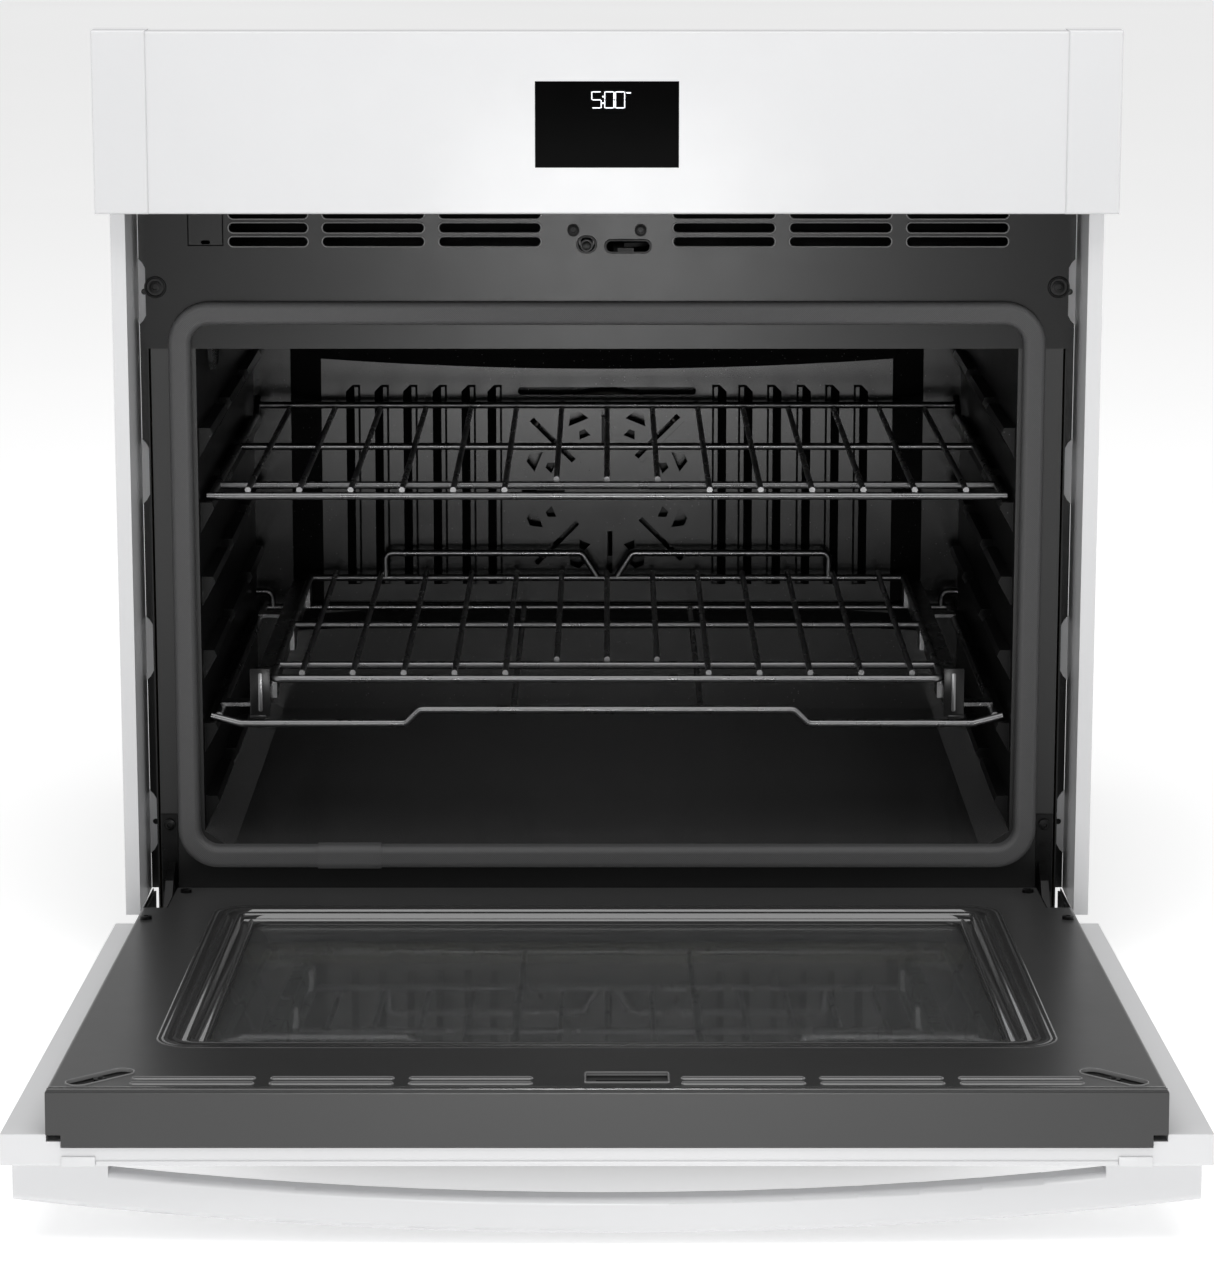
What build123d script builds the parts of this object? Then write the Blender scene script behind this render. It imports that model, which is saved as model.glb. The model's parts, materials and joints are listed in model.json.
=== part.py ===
"""A built-in single electric wall oven, its door open, with two racks and every hidden piece."""

import os

from build123d import *

os.makedirs("parts", exist_ok=True)

# Overall sizes. Y = 0 is the dark front frame, Z = 0 the shelf that the oven stands on.
body_width = 698.0
panel_overhang = 28.825
overall_height = 727.0
panel_height = 134.0
panel_front = -62.0
panel_back = -40.0
body_drop = 43.0
body_back = 578.0
steel = 1.2
running_gap = 0.05
slide_gap = 0.8
rest_gap = 0.3

half_body = body_width / 2
half_panel = half_body + panel_overhang
panel_bottom = overall_height - panel_height
body_height = overall_height - body_drop

# The machine shelf, and the air row under it that the slots in the header open into.
shelf_z = panel_bottom - 1
latch_z = shelf_z - 30
plunger_z = latch_z + 1.4
duct_floor = latch_z - 5.4
duct_back = 150.0
vent_rows = (latch_z + 3.5, latch_z + 14, latch_z + 24.5)
vent_centres = (88.3, 176.2, 264.4)
vent_length = 76.4
vent_height = 6.9
latch_slot = (-7.0, 27.5)
latch_pivot = (44.0, 26.0)
plunger_x = -15.4
plunger_radius = 4.5

# The cavity, its mouth and its rack levels.
side_room = 37.0
cavity_half = half_body - side_room
floor_z = 92.0
slope_width = 22.0
slope_rise = 14.0
ceiling_z = shelf_z - 47
cavity_back_y = 466.0
mouth_bottom = 95.0
mouth_top = ceiling_z - 61
level_count = 6
first_level = 134.0
level_pitch = 58.0
guide_reach = 10.4
guide_flat = 8.5
guide_nose = 4.6
guide_height = 24.4
guide_runs = ((14, 134), (166, 286), (318, 434))

# The door, drawn closed and then turned about its hinge pins.
pivot_y = -54.7
pivot_z = 31.1
open_angle = 86.5
door_bottom = 16.0
skin_top = panel_bottom - 5
skin_back = -41.4
liner_half = half_body
liner_bottom = 20.0
liner_top = panel_bottom - 3
door_face = -12.0
bezel_half = liner_half - 57
bezel_low = 83.6
bezel_high = mouth_top + 5.6
bezel_step = 2.5
hinge_x = half_body - 11
hinge_inner = hinge_x - 8.4
hinge_outer = hinge_x + 9
pin_radius = 2.6

# The racks.
bar_radius = 3.0
wire_radius = 2.3
wire_pitch = 39.5
rack_front = 25.0
second_bar = 72.0
upper_rack_half = cavity_half - 4
upper_rack_back = 428.0
lower_rack_half = cavity_half - 52
lower_rack_back = 416.0
lower_rack_z = 221.7
weld = 0.7

# The side trim rails.
trim_inner = half_body + 9.7
trim_outer = trim_inner + 11.1
trim_front = -38.0
trim_back = 36.0
trim_bottom = 50.0
tab_height = 27.0
tab_pitch = 139.6
first_tab = 104.0

door_hinge = Axis((0, pivot_y, pivot_z), (1, 0, 0))
levels = [first_level + i * level_pitch for i in range(level_count)]


def block(x, y, z, mode=Mode.ADD):
    """A box between two values on each axis."""
    middle = ((x[0] + x[1]) / 2, (y[0] + y[1]) / 2, (z[0] + z[1]) / 2)
    with Locations(middle):
        Box(abs(x[1] - x[0]), abs(y[1] - y[0]), abs(z[1] - z[0]), mode=mode)


def rod(start, end, radius, mode=Mode.ADD):
    """A round bar between two points."""
    a, b = Vector(*start), Vector(*end)
    with Locations(Plane(origin=(a + b) / 2, z_dir=b - a)):
        Cylinder(radius, (b - a).length, mode=mode)


def bent_wire(points, radius, bend):
    """A round wire along straight runs with rounded bends."""
    with BuildLine() as path:
        FilletPolyline(*points, radius=bend)
    with BuildSketch(Plane(origin=path.line @ 0, z_dir=path.line % 0)) as section:
        Circle(radius)
    sweep(section.sketch, path=path.line)


def upright(y):
    """A plane facing the room at a depth: its own axes are X and Z."""
    return Plane.XZ.offset(-y)


def slots(centres, length, height, y, depth):
    """Cuts round-ended level slots through a sheet that faces the room."""
    with BuildSketch(upright(y)) as row:
        with Locations(*centres):
            SlotOverall(length, height)
    extrude(row.sketch, amount=-depth, both=True, mode=Mode.SUBTRACT)


def opened(part):
    """A door piece, turned from shut to open on the hinge pins."""
    return part.rotate(door_hinge, open_angle)


# ---------------------------------------------------------------- cabinet
with BuildPart() as base_pan:
    block((-half_body + steel, half_body - steel), (-8, body_back), (0, steel))
    block((-half_body + steel, half_body - steel), (-8, -8 + steel), (steel, 10))
    for x in (-180, 180):
        block((x - 20, x + 20), (60, 520), (steel, 8))
base_pan.part.label = "base_pan"
export_step(base_pan.part, "parts/base_pan.step")

for side, name in ((-1, "left"), (1, "right")):
    with BuildPart() as side_panel:
        block((side * (half_body - steel), side * half_body), (steel, body_back), (0, body_height))
        backing = (trim_back + steel + 0.2, trim_back + 2 * steel + 0.2)
        block((side * half_body, side * (trim_inner - 0.2)), backing, (trim_bottom, panel_bottom))
        for z in (shelf_z + 48, shelf_z + 60, shelf_z + 72):
            block((side * (half_body - 3), side * (half_body + 3)), (360, 500), (z - 2, z + 2), Mode.SUBTRACT)
        for z in (40, 52):
            block((side * (half_body - 3), side * (half_body + 3)), (200, 400), (z - 2, z + 2), Mode.SUBTRACT)
    side_panel.part.label = f"side_panel_{name}"
    export_step(side_panel.part, f"parts/side_panel_{name}.step")

conduit_x, conduit_z = 240.0, shelf_z + 58
with BuildPart() as rear_cover:
    block((-half_body, half_body), (body_back, body_back + steel), (0, body_height))
    slots([(x, shelf_z + up) for x in (-220, -90, 40) for up in (48, 60, 72)], 100, 4, body_back, 3)
    slots([(x, z) for x in (-160, 0, 160) for z in (40, 52)], 110, 4, body_back, 3)
    with BuildSketch(upright(body_back)):
        with Locations((conduit_x, conduit_z)):
            Circle(15)
    extrude(amount=-3, both=True, mode=Mode.SUBTRACT)
    block((-160, 160), (body_back + steel, body_back + 2 * steel), (200, 420))
rear_cover.part.label = "rear_cover"
export_step(rear_cover.part, "parts/rear_cover.step")

with BuildPart() as top_cover:
    block((-half_body, half_body), (0, body_back + steel), (body_height, body_height + steel))
    for x in (-240, -120, 0, 120, 240):
        with BuildSketch(Plane.XY.offset(body_height)):
            with Locations((x, 470), (x, 490), (x, 510)):
                SlotOverall(80, 6)
        extrude(amount=3, both=True, mode=Mode.SUBTRACT)
top_cover.part.label = "top_cover"
export_step(top_cover.part, "parts/top_cover.step")

cap_width = 40.0
steel_half = half_panel - cap_width
arm_half = steel_half - 2
arm_z = panel_bottom + 7
dimple_x, dimple_z = half_body - 7.5, shelf_z - 61
header_screws = ((-dimple_x, dimple_z), (dimple_x, dimple_z), (-25.4, latch_z + 12.2), (25.4, latch_z + 12.2))

# The upper front plate: air slots, latch slot, plunger hole, access tab, and the box that carries the panel.
with BuildPart() as front_header:
    block((-half_body, half_body), (0, steel), (mouth_top, body_height))
    long_slots = [(x, z) for x in vent_centres for z in vent_rows]
    long_slots += [(-x, z) for x in vent_centres[:2] for z in vent_rows]
    slots(long_slots, vent_length, vent_height, 0, 3)
    slots([(-255.5, z) for z in vent_rows], 59.4, vent_height, 0, 3)
    with BuildSketch(upright(0)):
        with Locations((15.8, latch_z)):
            SlotOverall(34, 9)
        with Locations((plunger_x, plunger_z)):
            SlotOverall(13, 10)
        with Locations((-302.9, latch_z + 3)):
            SlotOverall(7, 3)
        for x in (-316, -289.8):
            with Locations((x, latch_z + 18)):
                Rectangle(0.8, 34)
        with Locations((-302.9, latch_z + 0.6)):
            Rectangle(27, 0.8)
        with Locations(*[(x, z) for x, z in header_screws]):
            Circle(2)
        with Locations((0, body_height - 32)):
            Rectangle(110, 40)
    extrude(amount=-3, both=True, mode=Mode.SUBTRACT)
    block((-arm_half, arm_half), (panel_back, 0), (arm_z, arm_z + steel))
    block((-arm_half, arm_half), (panel_back, 0), (body_height - steel, body_height))
    for side in (-1, 1):
        block((side * (arm_half - steel), side * arm_half), (panel_back, 0), (arm_z, body_height))
front_header.part.label = "front_header"
export_step(front_header.part, "parts/front_header.step")

frame_half = half_body - 3
hinge_screws = (66, 112)
rim = floor_z + slope_rise
mouth_slope = slope_width * (rim - mouth_bottom) / slope_rise
with BuildPart() as front_frame:
    block((-frame_half, frame_half), (0, steel), (steel, mouth_top))
    with BuildSketch(upright(0)):
        with BuildLine():
            Polyline(
                (-cavity_half, mouth_top + 1), (-cavity_half, rim),
                (-cavity_half + mouth_slope, mouth_bottom),
                (cavity_half - mouth_slope, mouth_bottom), (cavity_half, rim), (cavity_half, mouth_top + 1),
                close=True,
            )
        make_face()
        with Locations(*[(side * (hinge_x + 1), z) for side in (-1, 1) for z in hinge_screws]):
            Circle(2)
    extrude(amount=-3, both=True, mode=Mode.SUBTRACT)
front_frame.part.label = "front_frame"
export_step(front_frame.part, "parts/front_frame.step")

# The door seal: a flattened tube round the mouth, with the sleeve that hides its joint.
gasket_half = cavity_half + 20
gasket_low = mouth_bottom - 16
gasket_high = mouth_top + 36
gasket_width = 17.0
gasket_depth = 11.2
gasket_round = 5.2
gasket_corner = 31.6
splice_start, splice_length = -224, 49
with BuildPart() as gasket:
    with BuildSketch(upright(0)):
        with Locations((0, (gasket_low + gasket_high) / 2)):
            tall = gasket_high - gasket_low
            RectangleRounded(2 * gasket_half, tall, gasket_corner)
            inner_half, inner_tall = gasket_half - gasket_width, tall - 2 * gasket_width
            inner_corner = gasket_corner - gasket_width
            RectangleRounded(2 * inner_half, inner_tall, inner_corner, mode=Mode.SUBTRACT)
    extrude(amount=gasket_depth)
    fillet(gasket.faces().sort_by(Axis.Y)[0].edges(), gasket_round)
gasket.part.label = "gasket"
export_step(gasket.part, "parts/gasket.step")

with BuildPart() as gasket_splice:
    middle_z = gasket_low + gasket_width / 2
    with BuildSketch(Plane.YZ.offset(splice_start)) as sleeve:
        sleeve_depth = gasket_depth + 0.5
        with Locations((-sleeve_depth / 2, middle_z)):
            Rectangle(sleeve_depth, gasket_width + 2)
        fillet(sleeve.vertices().group_by(Axis.X)[0], gasket_round + 0.4)
        with BuildSketch(Plane.YZ.offset(splice_start), mode=Mode.SUBTRACT) as tube:
            with Locations((-gasket_depth / 2, middle_z)):
                Rectangle(gasket_depth, gasket_width)
            fillet(tube.vertices().group_by(Axis.X)[0], gasket_round)
    extrude(amount=splice_length)
gasket_splice.part.label = "gasket_splice"
export_step(gasket_splice.part, "parts/gasket_splice.step")

# ---------------------------------------------------------------- cavity
with BuildPart() as cavity_floor:
    flat = cavity_half - slope_width
    with BuildSketch(upright(steel)):
        with BuildLine():
            Polyline(
                (-cavity_half - steel, rim), (-flat - 0.5, floor_z - steel), (flat + 0.5, floor_z - steel),
                (cavity_half + steel, rim), (cavity_half - 0.5, rim), (flat, floor_z),
                (-flat, floor_z), (-cavity_half + 0.5, rim), close=True,
            )
        make_face()
    extrude(amount=-(cavity_back_y - steel))
cavity_floor.part.label = "cavity_floor"
export_step(cavity_floor.part, "parts/cavity_floor.step")

with BuildPart() as cavity_ceiling:
    block((-cavity_half - steel, cavity_half + steel), (steel, cavity_back_y), (ceiling_z, ceiling_z + steel))
cavity_ceiling.part.label = "cavity_ceiling"
export_step(cavity_ceiling.part, "parts/cavity_ceiling.step")

lamp_y, lamp_z, lamp_radius = 110.0, ceiling_z - 69, 24.0
for side, name in ((-1, "left"), (1, "right")):
    with BuildPart() as cavity_wall:
        block((side * cavity_half, side * (cavity_half + steel)), (steel, cavity_back_y), (rim, ceiling_z))
        wall, flat = side * (cavity_half + steel / 2), side * (cavity_half - guide_flat)
        nose = side * (cavity_half - guide_reach)
        for level in levels:
            top = level - bar_radius - rest_gap
            for low, high in guide_runs:
                with BuildSketch(upright(low)):
                    with BuildLine():
                        Polyline(
                            (wall, top), (flat, top), (nose, top - guide_nose),
                            (wall, top - guide_height), close=True,
                        )
                    make_face()
                extrude(amount=-(high - low))
        if side < 0:
            with Locations(Plane(origin=(side * cavity_half, lamp_y, lamp_z), z_dir=(1, 0, 0))):
                Cylinder(lamp_radius - 3, 6, mode=Mode.SUBTRACT)
    cavity_wall.part.label = f"cavity_{name}_wall"
    export_step(cavity_wall.part, f"parts/cavity_{name}_wall.step")

fan_z = 295.6
element_radius, element_tube, element_y = 84.0, 3.3, 453.0
leg_x, leg_drop, leg_radius = 18.0, 82.0, 2.8
broil_half, broil_z = 200.0, ceiling_z - 23
probe_x, probe_z, probe_radius = -230.0, ceiling_z - 40, 2.45
with BuildPart() as cavity_back:
    back_sheet = (cavity_back_y, cavity_back_y + steel)
    block((-cavity_half - steel, cavity_half + steel), back_sheet, (floor_z - steel, ceiling_z + steel))
    with BuildSketch(upright(cavity_back_y)):
        with Locations((0, fan_z)):
            Circle(9)
        with Locations((-leg_x, fan_z - leg_drop), (leg_x, fan_z - leg_drop)):
            Circle(leg_radius + running_gap)
        with Locations((probe_x, probe_z)):
            Circle(probe_radius + running_gap)
        with Locations((-broil_half, broil_z), (broil_half, broil_z)):
            Circle(element_tube)
    extrude(amount=-5, both=True, mode=Mode.SUBTRACT)
cavity_back.part.label = "cavity_back"
export_step(cavity_back.part, "parts/cavity_back.step")

# The fan cover: a shallow tray off the back wall, with louvres at both sides and a star of fan slots.
baffle_face, baffle_half, baffle_foot = 440.0, 250.0, 279.0
baffle_low, baffle_high, baffle_bow = 185.0, 412.0, 9.0
louvre_lips = (98.6, 121.5, 146.7, 172.5, 197.5, 222.5)
louvre_low, louvre_high, louvre_open, louvre_fin = 211.0, 389.0, 6.0, 6.6
star_slots = ((37, 75), (39, 91))
star_width = 9.6


def baffle_outline(half, low, high):
    """The cover's outline: straight sides, with the top and bottom edges bowed towards the middle."""
    with BuildLine() as outline:
        Line((-half, low), (-half, high))
        ThreePointArc((-half, high), (0, high - baffle_bow), (half, high))
        Line((half, high), (half, low))
        ThreePointArc((half, low), (0, low + baffle_bow), (-half, low))
    make_face(outline.line.edges())


with BuildPart() as convection_baffle:
    with BuildSketch(upright(baffle_face)):
        baffle_outline(baffle_half, baffle_low, baffle_high)
    with BuildSketch(upright(cavity_back_y)):
        baffle_outline(baffle_foot, baffle_low - 22, baffle_high + 22)
    loft()
    with BuildSketch(upright(baffle_face + steel)):
        baffle_outline(baffle_half - 0.6, baffle_low + 0.6, baffle_high - 0.6)
    with BuildSketch(upright(cavity_back_y + 0.1)):
        baffle_outline(baffle_foot - 1.6, baffle_low - 20.4, baffle_high + 20.4)
    loft(mode=Mode.SUBTRACT)
    with BuildSketch(upright(baffle_face)):
        for x in louvre_lips:
            for side in (-1, 1):
                near, far = side * x, side * (x + louvre_open)
                with BuildLine():
                    Polyline(
                        (near, louvre_low), (near, louvre_high), (far, louvre_high - louvre_open),
                        (far, louvre_low), close=True,
                    )
                make_face()
        with Locations((0, 383.5)):
            SlotOverall(156, 7)
        for i in range(8):
            near, far = star_slots[i % 2]
            with Locations(Location((0, fan_z), 45 * i)):
                with Locations(((near + far) / 2, 0)):
                    Rectangle(far - near, star_width)
            with Locations(Location((0, fan_z), 45 * i - 67.5)):
                with Locations((0, 70)):
                    Trapezoid(19, 10, 60)
                with Locations((0, 54)):
                    Trapezoid(10.5, 7, 68)
    extrude(amount=-3, both=True, mode=Mode.SUBTRACT)
    with BuildSketch(upright(baffle_face + steel)):
        for i in range(8):
            near, far = star_slots[i % 2]
            with Locations(Location((0, fan_z), 45 * i)):
                with Locations(((near + far) / 2, -star_width / 4 - 0.5)):
                    Rectangle(far - near + 2, star_width / 2 + 1)
    extrude(amount=-steel)
    louvre_middle = (louvre_low + louvre_high) / 2
    fin_x = louvre_fin / 2
    with BuildSketch(upright(baffle_face)):
        for x in louvre_lips:
            with Locations((x - fin_x, louvre_middle), (-x + fin_x, louvre_middle)):
                Rectangle(louvre_fin, louvre_high - louvre_low)
    extrude(amount=3, taper=30)
convection_baffle.part.label = "convection_baffle"
export_step(convection_baffle.part, "parts/convection_baffle.step")

shaft_radius = 4.0
with BuildPart() as convection_fan:
    with Locations(Plane(origin=(0, 459, fan_z), z_dir=(0, 1, 0))):
        Cylinder(62, 1.5)
    rod((0, 446, fan_z), (0, 460, fan_z), 11)
    rod((0, 446, fan_z), (0, 518, fan_z), shaft_radius)
    for i in range(10):
        with Locations(Plane(origin=(0, 453, fan_z), z_dir=(0, -1, 0)).rotated((0, 0, 36 * i))):
            with Locations((44, 0, 0)):
                Box(34, 2, 11)
convection_fan.part.label = "convection_fan"
export_step(convection_fan.part, "parts/convection_fan.step")

with BuildPart() as convection_motor:
    rod((0, 480, fan_z), (0, 530, fan_z), 33)
    block((-60, 60), (cavity_back_y + 2 * steel, cavity_back_y + 3.6), (fan_z - 14, fan_z + 14))
    for x in (-50, 50):
        rod((x, cavity_back_y + steel, fan_z), (x, 484, fan_z), 3)
    block((-54, 54), (480, 484), (fan_z - 12, fan_z + 12))
    rod((0, 460, fan_z), (0, 520, fan_z), shaft_radius + running_gap, Mode.SUBTRACT)
convection_motor.part.label = "convection_motor"
export_step(convection_motor.part, "parts/convection_motor.step")

with BuildPart() as convection_element:
    with BuildSketch(Plane.YZ) as tube:
        with Locations((element_y, fan_z + element_radius)):
            Circle(element_tube)
    revolve(tube.sketch, axis=Axis((0, element_y, fan_z), (0, 1, 0)))
    for x in (-leg_x, leg_x):
        rod((x, element_y, fan_z - leg_drop), (x, 490, fan_z - leg_drop), leg_radius)
convection_element.part.label = "convection_element"
export_step(convection_element.part, "parts/convection_element.step")

with BuildPart() as broil_element:
    z = broil_z
    bent_wire(
        [(-broil_half, 490, z), (-broil_half, 60, z), (-120, 60, z), (-120, 410, z), (-40, 410, z),
         (-40, 60, z), (40, 60, z), (40, 410, z), (120, 410, z), (120, 60, z),
         (broil_half, 60, z), (broil_half, 490, z)],
        element_tube - running_gap, 25,
    )
    for x in (-80, 80):
        block((x - 6, x + 6), (404, 416), (z, ceiling_z))
    for x in (-160, 0, 160):
        block((x - 6, x + 6), (54, 66), (z, ceiling_z))
broil_element.part.label = "broil_element"
export_step(broil_element.part, "parts/broil_element.step")

with BuildPart() as bake_element:
    z = 76
    bent_wire(
        [(-200, 440, z), (-200, 60, z), (-100, 60, z), (-100, 400, z), (0, 400, z), (0, 60, z),
         (100, 60, z), (100, 400, z), (200, 400, z), (200, 60, z), (260, 60, z), (260, 440, z)],
        element_tube, 25,
    )
    for x in (-150, 50):
        block((x - 6, x + 6), (54, 66), (z, floor_z - steel))
    for x in (-50, 150):
        block((x - 6, x + 6), (394, 406), (z, floor_z - steel))
bake_element.part.label = "bake_element"
export_step(bake_element.part, "parts/bake_element.step")

with BuildPart() as temperature_probe:
    rod((probe_x, 410, probe_z), (probe_x, 484, probe_z), probe_radius)
    rod((probe_x, cavity_back_y - 1.5, probe_z), (probe_x, cavity_back_y, probe_z), 9)
temperature_probe.part.label = "temperature_probe"
export_step(temperature_probe.part, "parts/temperature_probe.step")

wall_x = -cavity_half
with BuildPart() as lamp_lens:
    rod((wall_x, lamp_y, lamp_z), (wall_x + 5, lamp_y, lamp_z), lamp_radius)
    fillet(lamp_lens.edges().group_by(Axis.X)[-1], 3.5)
    rod((wall_x - 2, lamp_y, lamp_z), (wall_x + 2, lamp_y, lamp_z), lamp_radius - 5, Mode.SUBTRACT)
lamp_lens.part.label = "lamp_lens"
export_step(lamp_lens.part, "parts/lamp_lens.step")

with BuildPart() as lamp_housing:
    rod((wall_x - 26, lamp_y, lamp_z), (wall_x - steel, lamp_y, lamp_z), lamp_radius - 3.5)
    rod((wall_x - 24, lamp_y, lamp_z), (wall_x, lamp_y, lamp_z), lamp_radius - 5, Mode.SUBTRACT)
lamp_housing.part.label = "lamp_housing"
export_step(lamp_housing.part, "parts/lamp_housing.step")

with BuildPart() as lamp_bulb:
    rod((wall_x - 24, lamp_y, lamp_z), (wall_x - 10, lamp_y, lamp_z), 5)
    with Locations((wall_x - 9, lamp_y, lamp_z)):
        Sphere(6.5)
lamp_bulb.part.label = "lamp_bulb"
export_step(lamp_bulb.part, "parts/lamp_bulb.step")

wool_half = cavity_half + steel + 0.4
wool_back = 498.0
wool_top = ceiling_z + 11
with BuildPart() as insulation:
    for side in (-1, 1):
        block((side * wool_half, side * (half_body - 3)), (6, wool_back), (62, wool_top))
        if side < 0:
            pocket_end = side * (half_body - 8.5)
            rod((pocket_end, lamp_y, lamp_z), (-300, lamp_y, lamp_z), lamp_radius - 3, Mode.SUBTRACT)
    middle = (-wool_half + 0.4, wool_half - 0.4)
    block(middle, (6, wool_back), (ceiling_z + 1.6, wool_top))
    block(middle, (6, wool_back), (30, 62))
    block(middle, (cavity_back_y + 1.6, wool_back), (62.4, ceiling_z + steel))
    rod((0, 460, fan_z), (0, 500, fan_z), 66, Mode.SUBTRACT)
    pockets = [(-leg_x, fan_z - leg_drop), (leg_x, fan_z - leg_drop), (probe_x, probe_z)]
    pockets += [(-broil_half, broil_z), (broil_half, broil_z)]
    for x, z in pockets:
        rod((x, 460, z), (x, 500, z), 8, Mode.SUBTRACT)
insulation.part.label = "insulation"
export_step(insulation.part, "parts/insulation.step")

# ---------------------------------------------------------------- side trim
hole_x, hole_radius = half_body + 5.3, 2.4
for side, name in ((-1, "left"), (1, "right")):
    with BuildPart() as side_trim:
        rail = (trim_bottom, panel_bottom)
        block((side * trim_inner, side * trim_outer), (trim_front, trim_front + steel), rail)
        block((side * (trim_outer - steel), side * trim_outer), (trim_front, trim_front + 8), rail)
        block((side * trim_inner, side * (trim_inner + steel)), (trim_front, trim_back), rail)
        block((side * half_body, side * (trim_inner + steel)), (trim_back, trim_back + steel), rail)
        tabs = [first_tab + i * tab_pitch for i in range(4)]
        edges = [trim_bottom - 30] + tabs + [tabs[-1] + 110]
        for low, high in zip(edges[:-1], edges[1:]):
            a, b = low + tab_height / 2, high - tab_height / 2
            with BuildSketch(upright(trim_back)):
                with BuildLine():
                    places = (trim_inner - 0.01, trim_inner - 3, half_body - 1)
                    root, shoulder, tip = (side * x for x in places)
                    Polyline(
                        (tip, a - 5), (shoulder, a + 9), (root, a + 12),
                        (root, b - 12), (shoulder, b - 9), (tip, b + 5), close=True,
                    )
                make_face()
            extrude(amount=-3, both=True, mode=Mode.SUBTRACT)
        with BuildSketch(upright(trim_back)):
            with Locations((side * hole_x, tabs[0]), (side * hole_x, tabs[-1])):
                Circle(hole_radius)
        extrude(amount=-3, both=True, mode=Mode.SUBTRACT)
    side_trim.part.label = f"side_trim_{name}"
    export_step(side_trim.part, f"parts/side_trim_{name}.step")

# ---------------------------------------------------------------- control panel
glass_half, glass_low, glass_high = 52.9, panel_bottom + 34.3, panel_bottom + 97.7
with BuildPart() as control_panel:
    block((-steel_half, steel_half), (panel_front, panel_back), (panel_bottom, overall_height))
    fillet(control_panel.edges().filter_by(Axis.X).sort_by(Axis.Y)[:2], 1.5)
    inside = (panel_bottom + steel, overall_height - steel)
    block((-steel_half - 1, steel_half + 1), (panel_front + steel, panel_back - steel), inside, Mode.SUBTRACT)
    back_sheet = (panel_back - 2 * steel, panel_back + 1)
    back_opening = (arm_z + 4, body_height - 4)
    block((-steel_half - 1, steel_half + 1), back_sheet, back_opening, Mode.SUBTRACT)
    window = (panel_front - 1, panel_front + 3), (glass_low, glass_high)
    block((-glass_half, glass_half), *window, Mode.SUBTRACT)
control_panel.part.label = "control_panel"
export_step(control_panel.part, "parts/control_panel.step")

for side, name in ((-1, "left"), (1, "right")):
    with BuildPart() as panel_cap:
        cap_depth = (panel_front - 1.3, panel_back)
        block((side * steel_half, side * half_panel), cap_depth, (panel_bottom, overall_height + 0.8))
        fillet(panel_cap.edges().group_by(Axis.Y)[0], 1.6)
        hollow = (panel_front + 1, panel_back + 1), (panel_bottom + 2, overall_height - 2)
        block((side * (steel_half + 2), side * (half_panel - 2)), *hollow, Mode.SUBTRACT)
    panel_cap.part.label = f"panel_cap_{name}"
    export_step(panel_cap.part, f"parts/panel_cap_{name}.step")

with BuildPart() as display_glass:
    block((-glass_half, glass_half), (panel_front - 0.3, panel_front + 2.7), (glass_low, glass_high))
    chamfer(display_glass.edges().group_by(Axis.Y)[0], 0.3)
display_glass.part.label = "display_glass"
export_step(display_glass.part, "parts/display_glass.step")

with BuildPart() as display_board:
    board = (panel_front + 2.7, panel_front + 4.3)
    block((-64, 64), board, (glass_low - 10.3, glass_high + 4.3))
    for x in (-59, 59):
        for z in (glass_low - 5.3, glass_high - 0.7):
            rod((x, panel_front + steel, z), (x, panel_front + 2.7, z), 2.5)
    block((-30, 30), (board[1], board[1] + 3), (glass_low + 12.7, glass_low + 47.7))
    block((38, 56), (board[1], board[1] + 7), (glass_low + 0.7, glass_low + 12.7))
display_board.part.label = "display_board"
export_step(display_board.part, "parts/display_board.step")

# ---------------------------------------------------------------- machine shelf
blower_x, blower_y, blower_radius = -140.0, 330.0, 72.0
switch_y = (12.0, 36.0)
post_radius = 3.0
with BuildPart() as equipment_shelf:
    duct_half = half_body - steel
    block((-duct_half, duct_half), (steel, body_back), (shelf_z, shelf_z + steel))
    block((-duct_half, duct_half), (steel, duct_back), (duct_floor, duct_floor + steel))
    block((-duct_half, duct_half), (duct_back - steel, duct_back), (duct_floor, shelf_z))
    rod((*latch_pivot, duct_floor + 0.5), (*latch_pivot, shelf_z), post_radius)
    rod((*latch_pivot, latch_z + 3), (*latch_pivot, shelf_z), 7)
    block((plunger_x - 9, plunger_x + 9), switch_y, (duct_floor + 0.5, shelf_z))
    rod((plunger_x, 0, plunger_z), (plunger_x, 33, plunger_z), plunger_radius + running_gap, Mode.SUBTRACT)
equipment_shelf.part.label = "equipment_shelf"
export_step(equipment_shelf.part, "parts/equipment_shelf.step")

with BuildPart() as latch_hook:
    with BuildSketch(Plane.XY.offset(latch_z - 1.5)):
        with BuildLine():
            eye_x, eye_y = latch_pivot
            Polyline(
                (8, -24), (20, -24), (20, -19.5), (13, -17.5), (13, 8), (eye_x + 8, eye_y - 8),
                (eye_x + 8, eye_y + 8), (eye_x - 12, eye_y + 8), (5, 14), (5, -20), close=True,
            )
        make_face()
        with Locations(latch_pivot):
            Circle(post_radius + running_gap, mode=Mode.SUBTRACT)
    extrude(amount=3)
latch_hook.part.label = "latch_hook"
export_step(latch_hook.part, "parts/latch_hook.step")

with BuildPart() as switch_plunger:
    rod((plunger_x, -8, plunger_z), (plunger_x, 25, plunger_z), plunger_radius)
    with Locations((plunger_x, -7.5, plunger_z)):
        Sphere(plunger_radius - 1)
switch_plunger.part.label = "switch_plunger"
export_step(switch_plunger.part, "parts/switch_plunger.step")

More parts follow.
